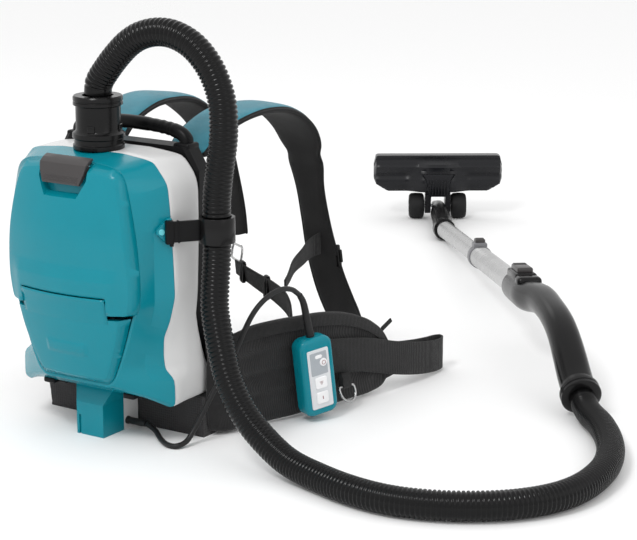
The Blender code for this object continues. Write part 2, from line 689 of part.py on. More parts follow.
def handle_body():
    plan = Vector((WAND_SOCKET.x - HANDLE_TAIL.x, WAND_SOCKET.y - HANDLE_TAIL.y)).normalized()
    spots = [
        (0.0, 0.0262, 0.0255), (0.008, 0.0290, 0.0255), (0.010, 0.0297, 0.0215), (0.035, 0.0430, 0.0213),
        (0.062, 0.0620, 0.0208), (0.090, 0.0790, 0.0200), (0.120, 0.0900, 0.0195), (0.160, 0.0960, 0.0190),
        (0.205, 0.0970, 0.0200),
    ]
    path = [Vector((HANDLE_TAIL.x + plan.x * s, HANDLE_TAIL.y + plan.y * s, z)) for s, z, radius in spots]
    radii = [radius for s, z, radius in spots]
    along = wand_axis()
    for back, radius in ((0.085, 0.0220), (0.055, 0.0225), (0.0, 0.0225)):
        path.append(WAND_SOCKET - along * back)
        radii.append(radius)
    outer = tube_rings(path, radii, 14)
    inner = tube_rings(path, [0.0152] * len(path), 14)
    body = loft("handle_body", outer + inner[::-1], "black_plastic", closed=True)
    place = frame_on(WAND_SOCKET, along)
    boss = box("handle_boss", (-0.0150, -0.0650, 0.0165), (0.0150, -0.0060, 0.0270), None, frame=place)
    pocket = box("handle_pocket", (-0.0115, -0.0600, 0.0232), (0.0115, -0.0110, 0.0400), None, frame=place)
    cut(body, boss, "UNION")
    cut(body, pocket)
    box("handle_lock", (-0.0111, -0.0596, 0.0255), (0.0111, -0.0114, 0.0335), "black_plastic", bevel=0.0018,
        frame=place, origin=place @ Vector((0, -0.0355, 0.0255)))


def wand_pipes():
    along = wand_axis()
    start = WAND_SOCKET + along * GAP
    bore = OUTER_PIPE_RADIUS - PIPE_WALL
    profile = [
        (bore, 0.0), (OUTER_PIPE_RADIUS, 0.0), (OUTER_PIPE_RADIUS, OUTER_PIPE_LENGTH),
        (bore, OUTER_PIPE_LENGTH),
    ]
    turned("outer_pipe", start, along, profile, "aluminium", sides=18, hollow=True)
    collar_base = start + along * (OUTER_PIPE_LENGTH + GAP)
    profile = [(0.0145, 0.0), (0.0178, 0.0), (0.0178, 0.0200), (0.0160, 0.0240), (0.0145, 0.0240)]
    collar = turned("pipe_collar", collar_base, along, profile, "black_plastic", sides=18, hollow=True)
    place = frame_on(collar_base, along)
    boss = box("collar_boss", (-0.0105, 0.0010, 0.0155), (0.0105, 0.0230, 0.0222), None, frame=place)
    pocket = box("collar_pocket", (-0.0082, 0.0030, 0.0188), (0.0082, 0.0210, 0.0300), None, frame=place)
    cut(collar, boss, "UNION")
    cut(collar, pocket)
    box("pipe_lock", (-0.0078, 0.0034, 0.0208), (0.0078, 0.0206, 0.0280), "black_plastic", bevel=0.0016,
        frame=place, origin=place @ Vector((0, 0.012, 0.0208)))
    inner_start = OUTER_PIPE_LENGTH - PIPE_OVERLAP
    length = (WAND_END - WAND_SOCKET).length - inner_start
    profile = [
        (INNER_PIPE_RADIUS - PIPE_WALL, 0.0), (INNER_PIPE_RADIUS, 0.0), (INNER_PIPE_RADIUS, length),
        (INNER_PIPE_RADIUS - PIPE_WALL, length),
    ]
    base = WAND_SOCKET + along * inner_start
    turned("inner_pipe", base, along, profile, "aluminium", sides=18, hollow=True, origin=base)


def nozzle_neck(place, bore):
    """The neck runs from the pipe to a narrow hub on the axle."""
    along = wand_axis()
    start = WAND_END + along * GAP
    hub = place @ Vector((0, -0.022, -0.0005))
    path = [
        start, start + along * 0.018, start + along * 0.019, start.lerp(hub, 0.45), start.lerp(hub, 0.75),
        hub, place @ Vector((0, 0.0085, 0.0)),
    ]
    half_widths = [0.0180, 0.0180, 0.0160, 0.0165, 0.0165, 0.0112, 0.0100]
    half_heights = [0.0180, 0.0180, 0.0160, 0.0165, 0.0165, 0.0145, 0.0065]
    rings = []
    for index, spot in enumerate(path):
        ahead = path[min(index + 1, len(path) - 1)] - path[max(index - 1, 0)]
        place_here = frame_on(spot, ahead.normalized())
        angles = [2 * math.pi * step / 14 for step in range(14)]
        half_width, half_height = half_widths[index], half_heights[index]
        rings.append([
            place_here @ Vector((math.sin(turn) * half_width, 0, math.cos(turn) * half_height))
            for turn in angles
        ])
    inside = [[spot + (point - spot) * 0.78 for point in ring] for spot, ring in zip(path[:4], rings[:4])]
    neck = loft("nozzle_neck", inside[::-1] + rings, "black_plastic", origin=NOZZLE_AXLE)
    cut(neck, bore)


def nozzle_head(place, bore):
    """The head stands on its long edge above the wheels, its sole facing away from the pipe."""
    bar = [
        (-0.0110, 0.0880), (-0.0060, 0.0902), (0.0180, 0.0902), (0.0212, 0.0880), (0.0212, 0.0290),
        (0.0180, 0.0262), (-0.0040, 0.0262), (-0.0105, 0.0310),
    ]
    centre = Vector((0.0051, 0.0582))
    rings = []
    for x, size in ((-NOZZLE_HALF_WIDTH, 0.86), (-0.109, 0.97), (-0.104, 1.0), (0.104, 1.0), (0.109, 0.97),
                    (NOZZLE_HALF_WIDTH, 0.86)):
        spots = [centre + (Vector(point) - centre) * size for point in bar]
        rings.append([place @ Vector((x, spot.x, spot.y)) for spot in spots])
    head = loft("nozzle_head", rings, "black_plastic", origin=NOZZLE_AXLE)
    slot = box("sole_slot", (-0.0980, 0.0080, 0.0360), (0.0980, 0.0400, 0.0800), None, frame=place)
    throat = prism("throat", [
        (-0.0130, -0.0040), (-0.0140, 0.0080), (-0.0235, 0.0190), (-0.0270, 0.0240), (-0.0272, 0.0660),
        (-0.0250, 0.0683), (-0.0050, 0.0683), (-0.0050, 0.0320), (0.0050, 0.0270), (0.0125, 0.0060),
        (0.0125, -0.0060), (0.0060, -0.0125), (-0.0060, -0.0125),
    ], -0.0223, 0.0223, None, frame=place)
    hub_gap = box("hub_gap", (-0.0119, -0.0400, -0.0200), (0.0119, 0.0400, 0.0178), None, frame=place)
    cut(head, slot)
    cut(head, throat, "UNION")
    cut(head, hub_gap)
    cut(head, bore)
    box("nozzle_brush", (-0.0940, 0.0090, 0.0370), (0.0940, 0.0216, 0.0420), "rubber", bevel=0.0008,
        frame=place, origin=NOZZLE_AXLE)


def nozzle():
    place = frame_on(NOZZLE_AXLE, NOZZLE_FORWARD)
    axis = place.to_3x3() @ Vector((1, 0, 0))
    free = AXLE_RADIUS + 0.0004
    bore_end = place @ Vector((-0.060, 0, 0))
    bore = turned("axle_bore", bore_end, axis, [(free, 0.0), (free, 0.120)], None, sides=16)
    nozzle_neck(place, bore)
    nozzle_head(place, bore)
    turned("nozzle_axle", place @ Vector((-0.0512, 0, 0)), axis, [(AXLE_RADIUS, 0.0),
    (AXLE_RADIUS, 0.1024)],
           "steel", sides=14, origin=NOZZLE_AXLE)
    wheel = [
        (free, 0.0), (0.0185, 0.0), (0.0215, 0.0030), (WHEEL_RADIUS, 0.0100), (WHEEL_RADIUS, 0.0160),
        (0.0215, 0.0230), (0.0185, 0.0260), (free, 0.0260),
    ]
    for side, name in ((-1, "nozzle_wheel_left"), (1, "nozzle_wheel_right")):
        inner = place @ Vector((side * 0.0240, 0, 0))
        turned(name, inner, axis * side, wheel, "rubber", sides=20, hollow=True, origin=inner)


# ---------------------------------------------------------------- remote control
def remote_frame():
    """X across the face, Y out of it and Z up, leaning a little to one side."""
    place = Matrix.Translation(REMOTE_CENTRE) @ Matrix.Rotation(math.pi / 2 - REMOTE_TURN, 4, "Z")
    place = place @ Matrix.Scale(-1, 4, Vector((0, 1, 0)))
    return place @ Matrix.Rotation(-REMOTE_ROLL, 4, "Y")


def rounded_ring(place, half_x, half_z, corner, y):
    ring = []
    for turn in range(4):
        centre_x = (half_x - corner) * (1, -1, -1, 1)[turn]
        centre_z = (half_z - corner) * (1, 1, -1, -1)[turn]
        for step in range(4):
            angle = math.pi / 2 * (turn + step / 3)
            ring.append(place @ Vector((
                centre_x + corner * math.cos(angle), y, centre_z + corner * math.sin(angle)
            )))
    return ring


def remote_shell(name, place, rim, face):
    half_x = REMOTE_SIZE.x / 2
    half_z = REMOTE_SIZE.z / 2
    sign = 1 if face > rim else -1
    inner_face = face - sign * 0.0022
    rings = [
        rounded_ring(place, half_x - 0.0040, half_z - 0.0040, 0.007, inner_face),
        rounded_ring(place, half_x - 0.0020, half_z - 0.0020, 0.009, inner_face - sign * 0.003),
        rounded_ring(place, half_x - 0.0020, half_z - 0.0020, 0.009, rim),
        rounded_ring(place, half_x, half_z, 0.011, rim),
        rounded_ring(place, half_x, half_z, 0.011, face - sign * 0.0035),
        rounded_ring(place, half_x - 0.0030, half_z - 0.0030, 0.008, face),
    ]
    return loft(name, rings, "teal_plastic")


def remote_control():
    place = remote_frame()
    depth = REMOTE_SIZE.y / 2
    front = remote_shell("remote_front", place, GAP / 2, depth)
    remote_shell("remote_back", place, -GAP / 2, -depth)
    keypad = box("remote_keypad", (-0.0165, depth + 0.0002, -0.0390), (0.0165, depth + 0.0013, 0.0390),
                 "pale_plastic", bevel=0.0003, frame=place)
    travel = place.to_3x3() @ Vector((0, 1, 0))
    holes = []
    for name, z in (("remote_button_low", -0.0260), ("remote_button_high", -0.0070)):
        spot = place @ Vector((0, depth - 0.002, z))
        box(name, (-0.0062, depth - 0.0020, z - 0.0062), (0.0062, depth + 0.0028, z + 0.0062),
            "white_plastic", bevel=0.0005, frame=place, origin=spot)
        holes.append(box(f"{name}_hole", (-0.0067, depth - 0.0060, z - 0.0067),
                         (0.0067, depth + 0.0060, z + 0.0067), None, frame=place))
    spot = place @ Vector((0.0060, depth - 0.0020, 0.0180))
    turned("remote_button_power", spot, travel, [(0.0050, 0.0), (0.0050, 0.0040), (0.0044, 0.0046)],
           "white_plastic", sides=20, origin=spot)
    start = place @ Vector((0.0060, depth - 0.0060, 0.0180))
    holes.append(turned("power_hole", start, travel, [(0.0055, 0.0), (0.0055, 0.0120)], None, sides=20))
    for hole in holes:
        cut(front, hole)
        cut(keypad, hole)
    box("remote_board", (-0.0185, -0.0030, -0.0430), (0.0185, -0.0014, 0.0430), "board_green", frame=place)
    wedge = [
        (-0.015, -depth - 0.0003), (0.012, -depth - 0.0003), (0.012, -depth - 0.0066),
        (-0.015, -depth - 0.0024),
    ]
    rings = [[place @ Vector((x, y, z)) for x, y in wedge] for z in (-0.020, 0.020)]
    loft("remote_clip", rings, "black_plastic")
    top = place @ Vector((0.0, 0.0, REMOTE_SIZE.z / 2 + GAP))
    path = [Vector(CABLE_ROUTE[-1]) + Vector((0.0001, 0.0010, -0.0008)), Vector((0.1862, 0.1480, 0.1500)),
            top.lerp(Vector((0.1862, 0.1480, 0.1500)), 0.35), top]
    rings = tube_rings(path, [0.0036, 0.0040, 0.0048, 0.0050], 14, up=Vector((1.0, 0.0, 0.0)))
    up = place.to_3x3() @ Vector((0, 0, 1))
    for point in rings[-1]:
        point -= up * (point - top).dot(up)
    loft("remote_strain_relief", rings, "rubber")


# ---------------------------------------------------------------- harness
def lumbar_pad():
    outline = [
        (0.0385, 0.004), (0.0420, 0.0), (0.0885, 0.0), (0.0925, 0.006), (0.0925, 0.122), (0.0890, 0.1300),
        (0.0800, 0.1300), (0.0768, 0.125), (0.0768, 0.0545), (0.0745, 0.0490), (0.0420, 0.0490),
        (0.0385, 0.0450),
    ]
    prism("lumbar_pad", outline, -0.118, 0.118, "black_fabric")


def belt_wing(name, side):
    rings = []
    for outer, inner, low, high in BELT_WING:
        ring = []
        edge = 0.005
        profile = [
            (1.0, low + edge), (1.0, low + (high - low) * 0.35), (1.0, low + (high - low) * 0.68),
            (1.0, high - edge),
            (0.70, high), (0.30, high), (0.0, high - edge), (0.0, low + (high - low) * 0.5),
            (0.0, low + edge),
            (0.30, low), (0.70, low),
        ]
        for share, z in profile:
            x = inner[0] + (outer[0] - inner[0]) * share
            y = inner[1] + (outer[1] - inner[1]) * share
            ring.append(Vector((side * x, y, z)))
        rings.append(ring)
    loft(name, rings, "black_fabric")


def strip(name, route, half_height, half_thickness, colour, closed=False):
    """Webbing standing on edge: route points are (x, y, z of its middle)."""
    rings = []
    count = len(route)
    for index, point in enumerate(route):
        before = Vector(route[index - 1] if closed else route[max(index - 1, 0)])
        after = Vector(route[(index + 1) % count] if closed else route[min(index + 1, count - 1)])
        along = (after - before).normalized()
        out = along.cross(Vector((0, 0, 1))).normalized() * half_thickness
        tall = Vector((0, 0, half_height))
        spot = Vector(point)
        rings.append([spot + out + tall, spot - out + tall, spot - out - tall, spot + out - tall])
    return loft(name, rings, colour, closed=closed)


def belt_loop():
    route = [
        (0.1835, 0.1975, 0.0710), (0.1925, 0.2310, 0.0660), (0.2000, 0.2630, 0.0600),
        (0.2055, 0.2880, 0.0530),
        (0.2110, 0.3150, 0.0450), (0.2160, 0.3500, 0.0360), (0.2190, 0.3850, 0.0290),
        (0.2195, 0.4150, 0.0250),
        (0.2165, 0.4330, 0.0240), (0.2095, 0.4410, 0.0240), (0.2030, 0.4330, 0.0240),
        (0.2010, 0.4150, 0.0250),
        (0.2010, 0.3850, 0.0290), (0.2010, 0.3500, 0.0350), (0.2012, 0.3240, 0.0400),
    ]
    strip("belt_loop", route, 0.0215, 0.0012, "black_fabric")


def belt_ring():
    """A steel ring on a folded tab below the loop's root, free to swing."""
    bar_z = 0.0285
    along = Vector((0.245, 0.9695, 0.0)).normalized()
    root = Vector((0.1985, 0.2250, bar_z))
    place = frame_on(root, along)
    tab = box("ring_tab", (-0.0080, -0.0070, -0.0030),
    (0.0025, 0.0070, 0.0130), "black_fabric", bevel=0.0008,
              frame=place)
    bore = turned("tab_bore", root - along * 0.010, along, [(0.0021, 0.0), (0.0021, 0.020)], None, sides=12)
    cut(tab, bore)
    outline = [
        (-0.0105, 0.0), (-0.0050, 0.0), (0.0, 0.0), (0.0050, 0.0), (0.0105, 0.0),
        (0.0125, -0.0030), (0.0118, -0.0100),
        (0.0085, -0.0160), (0.0040, -0.0190), (0.0, -0.0197), (-0.0040, -0.0190), (-0.0085, -0.0160),
        (-0.0118, -0.0100), (-0.0125, -0.0030),
    ]
    lean = Matrix.Rotation(math.radians(-25.0), 4, "Y")
    path = [place @ lean @ Vector((0.0, y, z)) for y, z in outline]
    closed_rings("belt_d_ring", path, 0.0016, place.to_3x3() @ lean.to_3x3() @ Vector((1, 0, 0)), root)


def closed_rings(name, path, radius, normal, origin):
    """A round bar bent into a closed flat loop."""
    rings = []
    count = len(path)
    for index, spot in enumerate(path):
        along = (path[(index + 1) % count] - path[index - 1]).normalized()
        across = along.cross(normal).normalized()
        rings.append([
            spot + (normal * math.cos(angle) + across * math.sin(angle)) * radius
            for angle in (2 * math.pi * side / 8 for side in range(8))
        ])
    loft(name, rings, "steel", closed=True, origin=origin)


def shoulder_strap(name, stations, thickness):
    rings = []
    centres = [Vector(centre) for centre, half in stations]
    count = len(centres)
    for index, (centre, half) in enumerate(stations):
        along = (centres[min(index + 1, count - 1)] - centres[max(index - 1, 0)]).normalized()
        out = Vector((0.0, -along.z, along.y)).normalized()
        wide = along.cross(out)
        deep = thickness[index] / 2
        section = [
            (1.0, 0.0), (0.88, 1.0), (0.3, 1.15), (-0.3, 1.15), (-0.88, 1.0), (-1.0, 0.0), (-0.88, -1.0),
            (0.0, -1.05), (0.88, -1.0),
        ]
        rings.append([Vector(centre) + wide * half * a + out * deep * b for a, b in section])
    loft(name, rings, "teal_fabric")


def harness_webbing():
    strip("lower_webbing", [
        (-0.004, 0.2770, 0.1430), (0.020, 0.2640, 0.1400), (0.055, 0.2440, 0.1370), (0.095, 0.2200, 0.1350),
        (0.130, 0.1960, 0.1340),
    ], 0.0110, 0.0010, "black_fabric")
    strip("cross_webbing", [
        (0.093, 0.3180, 0.1800), (0.100, 0.2900, 0.1760), (0.109, 0.2560, 0.1710), (0.121, 0.2180, 0.1650),
        (0.135, 0.1850, 0.1580),
    ], 0.0100, 0.0010, "black_fabric")
    ring = [
        (-0.0120, 0.0), (-0.0060, 0.0), (0.0060, 0.0), (0.0120, 0.0), (0.0150, -0.0060), (0.0150, -0.0120),
        (0.0120, -0.0180), (-0.0120, -0.0180), (-0.0150, -0.0120), (-0.0150, -0.0060),
    ]
    centre = Vector((-0.0100, 0.2905, 0.1680))
    across = Vector((0.86, -0.51, 0.0)).normalized()
    path = [centre + across * x + Vector((0, -0.25 * -z, z)) for x, z in ring]
    normal = across.cross(Vector((0, 0.25, 1.0))).normalized()
    closed_rings("strap_ring", path, 0.0016, normal, centre)


def harness():
    lumbar_pad()
    belt_wing("belt_wing_right", 1)
    belt_wing("belt_wing_left", -1)
    belt_loop()
    belt_ring()
    shoulder_strap("shoulder_strap_right", STRAP_NEAR, [0.012] * 6 + [0.010] * 2 + [0.008] * 5)
    shoulder_strap("shoulder_strap_left", STRAP_FAR, [0.012] * 6 + [0.010] * 2 + [0.007] * 2)
    harness_webbing()


# ---------------------------------------------------------------- build
def build():
    clear_scene()
    front_cover()
    cover_seal()
    latch()
    lower_front_panel()
    hinge_pin()
    housings()
    back_plate()
    battery_foot()
    hose_inlet()
    carry_handle()
    hose_holder()
    inner_works()
    cord("suction_hose", HOSE_ROUTE, HOSE_RADIUS, 0.030, "black_plastic", 3)
    cord("remote_cable", CABLE_ROUTE, CABLE_RADIUS, 0.010, "rubber", 2)
    handle_body()
    wand_pipes()
    nozzle()
    remote_control()
    harness()


build()
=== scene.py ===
import math

import bmesh
import bpy
from mathutils import Matrix, Vector, noise


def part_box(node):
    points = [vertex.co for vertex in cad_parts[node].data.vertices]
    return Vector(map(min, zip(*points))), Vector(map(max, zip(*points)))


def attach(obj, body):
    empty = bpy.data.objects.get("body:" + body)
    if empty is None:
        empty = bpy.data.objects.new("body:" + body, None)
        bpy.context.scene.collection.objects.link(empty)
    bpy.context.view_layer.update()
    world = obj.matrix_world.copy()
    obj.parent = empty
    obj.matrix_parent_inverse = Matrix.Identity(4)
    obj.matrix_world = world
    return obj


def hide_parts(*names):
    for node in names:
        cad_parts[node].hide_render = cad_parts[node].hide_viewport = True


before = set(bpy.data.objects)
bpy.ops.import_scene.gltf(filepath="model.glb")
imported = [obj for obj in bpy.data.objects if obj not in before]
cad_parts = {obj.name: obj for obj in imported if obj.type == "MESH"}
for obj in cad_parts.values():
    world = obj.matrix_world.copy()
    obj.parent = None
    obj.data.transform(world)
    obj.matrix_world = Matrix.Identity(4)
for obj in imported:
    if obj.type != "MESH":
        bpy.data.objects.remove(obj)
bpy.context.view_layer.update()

# ---------------------------------------------------------------- camera, floor and lights
VIEW_AZIMUTH = math.radians(33.0)
VIEW_DROP = math.radians(14.0)
CAMERA_PLACE = (1.45934, -1.77951, 0.76687)
CAMERA_LENS = 113.03


def camera():
    data = bpy.data.cameras.new("camera")
    data.lens = CAMERA_LENS
    data.sensor_width = 36.0
    data.clip_end = 100.0
    obj = bpy.data.objects.new("camera", data)
    toward = Vector((
        -math.sin(VIEW_AZIMUTH) * math.cos(VIEW_DROP), math.cos(VIEW_AZIMUTH) * math.cos(VIEW_DROP),
        -math.sin(VIEW_DROP),
    ))
    obj.location = CAMERA_PLACE
    obj.rotation_euler = toward.to_track_quat("-Z", "Y").to_euler()
    bpy.context.scene.collection.objects.link(obj)
    bpy.context.scene.camera = obj


def area_light(name, place, target, size, power):
    data = bpy.data.lights.new(name, "AREA")
    data.shape = "DISK"
    data.size = size
    data.energy = power
    obj = bpy.data.objects.new(name, data)
    obj.location = place
    obj.rotation_euler = (Vector(target) - Vector(place)).to_track_quat("-Z", "Y").to_euler()
    bpy.context.scene.collection.objects.link(obj)


def studio():
    scene = bpy.context.scene
    world = bpy.data.worlds.new("studio")
    world.use_nodes = True
    backdrop = world.node_tree.nodes["Background"]
    backdrop.inputs["Color"].default_value = (1.0, 1.0, 1.0, 1.0)
    backdrop.inputs["Strength"].default_value = 1.0
    scene.world = world
    scene.view_settings.view_transform = "Standard"
    area_light("key", (0.2, -1.5, 2.3), (0.1, 0.1, 0.15), 0.7, 24.0)
    area_light("fill", (2.6, -0.4, 1.6), (0.2, 0.3, 0.2), 1.6, 5.0)
    area_light("rim", (-1.6, 1.6, 2.0), (0.0, 0.2, 0.2), 1.2, 3.0)
    mesh = bpy.data.meshes.new("floor")
    half = 12.0
    mesh.from_pydata([(-half, -half, 0), (half, -half, 0), (half, half, 0), (-half, half, 0)], [],
                     [(0, 1, 2, 3)])
    floor = bpy.data.objects.new("floor", mesh)
    scene.collection.objects.link(floor)
    paint = bpy.data.materials.new("floor_paint")
    paint.use_nodes = True
    shader = paint.node_tree.nodes["Principled BSDF"]
    shader.inputs["Base Color"].default_value = (0.93, 0.93, 0.93, 1.0)
    shader.inputs["Roughness"].default_value = 0.9
    shader.inputs["Specular IOR Level"].default_value = 0.1
    mesh.materials.append(paint)


# ---------------------------------------------------------------- materials
class Nodes:
    """A short way to add and join shader nodes."""

    def __init__(self, name):
        self.material = bpy.data.materials.new(name)
        self.material.use_nodes = True
        self.tree = self.material.node_tree
        self.shader = self.tree.nodes["Principled BSDF"]
        self.coords = self.tree.nodes.new("ShaderNodeTexCoord").outputs["Object"]

    def add(self, kind, inputs=(), **settings):
        node = self.tree.nodes.new(kind)
        for key, value in settings.items():
            setattr(node, key, value)
        for socket, value in dict(inputs).items():
            if isinstance(value, bpy.types.NodeSocket):
                self.tree.links.new(value, node.inputs[socket])
            else:
                node.inputs[socket].default_value = value
        return node

    def noise(self, scale, detail=3.0, roughness=0.5, coords=None):
        return self.add("ShaderNodeTexNoise", {
            "Vector": coords or self.coords, "Scale": scale, "Detail": detail, "Roughness": roughness,
        }).outputs["Fac"]

    def ramp(self, fac, low, high, low_at=0.3, high_at=0.7):
        node = self.add("ShaderNodeValToRGB", {"Fac": fac})
        node.color_ramp.elements[0].position = low_at
        node.color_ramp.elements[1].position = high_at
        node.color_ramp.elements[0].color = (*low, 1.0) if len(low) == 3 else low
        node.color_ramp.elements[1].color = (*high, 1.0) if len(high) == 3 else high
        return node.outputs["Color"]

    def math(self, operation, first, second=0.5):
        return self.add("ShaderNodeMath", {0: first, 1: second}, operation=operation).outputs[0]

    def bump(self, height, strength, distance, normal=None):
        inputs = {"Height": height, "Strength": strength, "Distance": distance}
        if normal:
            inputs["Normal"] = normal
        return self.add("ShaderNodeBump", inputs).outputs["Normal"]

    def link(self, output, socket):
        self.tree.links.new(output, self.shader.inputs[socket])

    def set(self, **values):
        for key, value in values.items():
            self.shader.inputs[key.replace("_", " ")].default_value = value


def scaled(colour, factor):
    return tuple(min(1.0, part * factor) for part in colour)


def plastic(name, colour, roughness=0.3, grain=0.06, coat=0.0, specular=0.5, mottling=0.05,
            grain_scale=1400.0):
    """Moulded plastic: a fine grain in the surface, faint mottling, and roughness that varies a little."""
    made = Nodes(name)
    clouds = made.noise(22.0, 4.0)
    made.link(made.ramp(clouds, scaled(colour, 1 - mottling), scaled(colour, 1 + mottling)), "Base Color")
    smears = made.noise(60.0, 5.0, 0.6)
    made.link(made.ramp(smears, (roughness * 0.92,) * 3, (roughness * 1.10,) * 3), "Roughness")
    made.link(made.bump(made.noise(grain_scale, 2.0), grain, 0.0004), "Normal")
    made.set(IOR=1.5, Specular_IOR_Level=specular)
    if coat:
        made.set(Coat_Weight=coat, Coat_Roughness=0.08)
    return made.material


def woven(name, colour, scale=900.0, depth=0.5, sheen=0.25, contrast=0.22):
    """Plain woven cloth: crossed threads in two directions, uneven dye and a soft sheen."""
    made = Nodes(name)
    waves = []
    for turn in ((0.0, 0.0, 0.0), (0.0, math.pi / 2, 0.0), (math.pi / 2, 0.0, 0.0)):
        spun = made.add("ShaderNodeMapping", {"Vector": made.coords, "Rotation": turn}).outputs["Vector"]
        wave = made.add("ShaderNodeTexWave", {"Vector": spun, "Scale": scale / 2.6, "Distortion": 0.6,
                                              "Detail": 1.0, "Detail Scale": 2.0})
        waves.append(wave.outputs["Fac"])
    pair = made.math("MULTIPLY", waves[0], waves[1])
    threads = made.math("ADD", pair, made.math("MULTIPLY", waves[2], 0.6))
    dye = made.noise(35.0, 5.0, 0.6)
    mixed = made.math("ADD", made.math("MULTIPLY", threads, contrast),
                      made.math("MULTIPLY", dye, 1.0 - contrast))
    made.link(made.ramp(mixed, scaled(colour, 0.72), scaled(colour, 1.30), 0.25, 0.75), "Base Color")
    creases = made.bump(made.noise(28.0, 4.0, 0.55), 0.35, 0.003)
    made.link(made.bump(threads, depth, 0.0004, creases), "Normal")
    made.set(Roughness=0.86, Sheen_Weight=sheen, Sheen_Roughness=0.5, Specular_IOR_Level=0.3)
    return made.material


def air_mesh(name, colour):
    """Spacer mesh: small round holes, with painted shade darkening each hole towards its middle."""
    made = Nodes(name)
    cells = made.add("ShaderNodeTexVoronoi", {"Vector": made.coords, "Scale": 330.0, "Randomness": 0.25})
    hole_depth_and_shade = cells.outputs["Distance"]
    # painted shade: the base colour darkens towards the middle of each hole; the same pattern also drives the
    # bump
    made.link(made.ramp(hole_depth_and_shade, scaled(colour, 0.45), scaled(colour, 1.25), 0.12, 0.42), "Base Color")
    made.link(made.bump(hole_depth_and_shade, 0.7, 0.0008, made.bump(made.noise(25.0, 3.0), 0.3, 0.003)), "Normal")
    made.set(Roughness=0.9, Sheen_Weight=0.25, Specular_IOR_Level=0.25)
    return made.material


def metal(name, colour, roughness, brushed_along=None, mottled=0.08):
    made = Nodes(name)
    coords = made.coords
    if brushed_along:
        turn = Vector((0, 0, 1)).rotation_difference(Vector(brushed_along)).inverted().to_euler()
        spun = made.add("ShaderNodeMapping",
                        {"Vector": made.coords, "Rotation": tuple(turn)}).outputs["Vector"]
        coords = made.add("ShaderNodeMapping",
                          {"Vector": spun, "Scale": (1.0, 1.0, 0.04)}).outputs["Vector"]
    streaks = made.noise(900.0 if brushed_along else 40.0, 3.0, 0.6, coords)
    made.link(made.ramp(streaks, scaled(colour, 1.0 - mottled), scaled(colour, 1.0 + mottled)),
              "Base Color")
    made.link(made.ramp(streaks, (roughness * 0.75,) * 3, (roughness * 1.3,) * 3), "Roughness")
    made.link(made.bump(streaks, 0.08, 0.0003), "Normal")
    made.set(Metallic=1.0)
    return made.material


TEAL = (0.001, 0.205, 0.262)
PAINTS = {
    "teal": plastic("teal_shell", TEAL, 0.24, 0.02, 0.08, specular=0.24, mottling=0.02),
    "screw_teal": plastic("screw_teal", (0.10, 0.52, 0.58), 0.3, 0.03),
    "white": plastic("white_shell", (0.64, 0.64, 0.638), 0.32, 0.02, 0.1, specular=0.3, mottling=0.012),
    "black": plastic("black_moulding", (0.0035, 0.0035, 0.0040), 0.36, 0.16, specular=0.15),
    "satin_black": plastic("satin_black", (0.0050, 0.0048, 0.0050), 0.24, 0.08, specular=0.22),
    "nozzle_black": plastic("nozzle_black", (0.0052, 0.0055, 0.0075), 0.28, 0.05, specular=0.3),
    "collar_grey": plastic("collar_grey", (0.16, 0.16, 0.17), 0.35, 0.05, specular=0.4),
    "latch": plastic("latch_grey", (0.044, 0.040, 0.040), 0.34, 0.10, specular=0.35),
    "hose": plastic("hose_plastic", (0.0026, 0.0026, 0.0028), 0.20, 0.03, specular=0.20),
    "rubber": plastic("cable_rubber", (0.013, 0.013, 0.0135), 0.42, 0.10, specular=0.30),
    "tyre": plastic("wheel_rubber", (0.009, 0.009, 0.0095), 0.60, 0.25, specular=0.25),
    "grey": plastic("keypad_grey", (0.36, 0.39, 0.42), 0.45, 0.08),
    "pale_grey": plastic("keypad_pale", (0.66, 0.68, 0.70), 0.40, 0.05),
    "key_white": plastic("key_white", (0.84, 0.84, 0.85), 0.35, 0.05),
    "print": plastic("keypad_print", (0.30, 0.12, 0.13), 0.5, 0.0),
    "board": plastic("board_green", (0.02, 0.14, 0.05), 0.5, 0.1),
    "paper": woven("filter_paper", (0.60, 0.56, 0.48), 500.0, 0.3),
    "teal_cloth": woven("teal_cloth", (0.030, 0.190, 0.250), 950.0, 0.5, 0.30),
    "black_cloth": woven("black_cloth", (0.0105, 0.0102, 0.0105), 900.0, 0.6, 0.12),
    "belt_cloth": woven("belt_cloth", (0.0150, 0.0146, 0.0150), 800.0, 0.6, 0.15),
    "webbing": woven("webbing", (0.0130, 0.0127, 0.0130), 1500.0, 0.6, 0.12, 0.25),
    "binding": woven("binding", (0.0085, 0.0085, 0.0090), 1300.0, 0.5, 0.10, 0.25),
    "mesh": air_mesh("air_mesh", (0.024, 0.023, 0.024)),
    "chrome": metal("chrome", (0.47, 0.47, 0.47), 0.26),
    "steel": metal("steel", (0.56, 0.56, 0.57), 0.28),
}


# ---------------------------------------------------------------- mesh helpers
def finish_mesh(name, body, paint, ride_on, stands_for=(), sharp=32.0, bevel=None, subdivide=0,
                recalc=True):
    if recalc:
        bmesh.ops.recalc_face_normals(body, faces=body.faces)
    mesh = bpy.data.meshes.new(name)
    body.to_mesh(mesh)
    body.free()
    mesh.shade_smooth()
    if sharp is not None:
        mesh.set_sharp_from_angle(angle=math.radians(sharp))
    paints = paint if isinstance(paint, (list, tuple)) else [paint]
    for each in paints:
        mesh.materials.append(PAINTS[each])
    obj = bpy.data.objects.new(name, mesh)
    bpy.context.scene.collection.objects.link(obj)
    if subdivide:
        modifier = obj.modifiers.new("subdivide", "SUBSURF")
        modifier.levels = subdivide
        modifier.render_levels = subdivide
    if bevel:
        width, angle = bevel
        modifier = obj.modifiers.new("bevel", "BEVEL")
        modifier.width = width
        modifier.segments = 3
        modifier.limit_method = "ANGLE"
        modifier.angle_limit = math.radians(angle)
        modifier.harden_normals = True
    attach(obj, ride_on)
    if stands_for:
        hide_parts(*stands_for)
    return obj


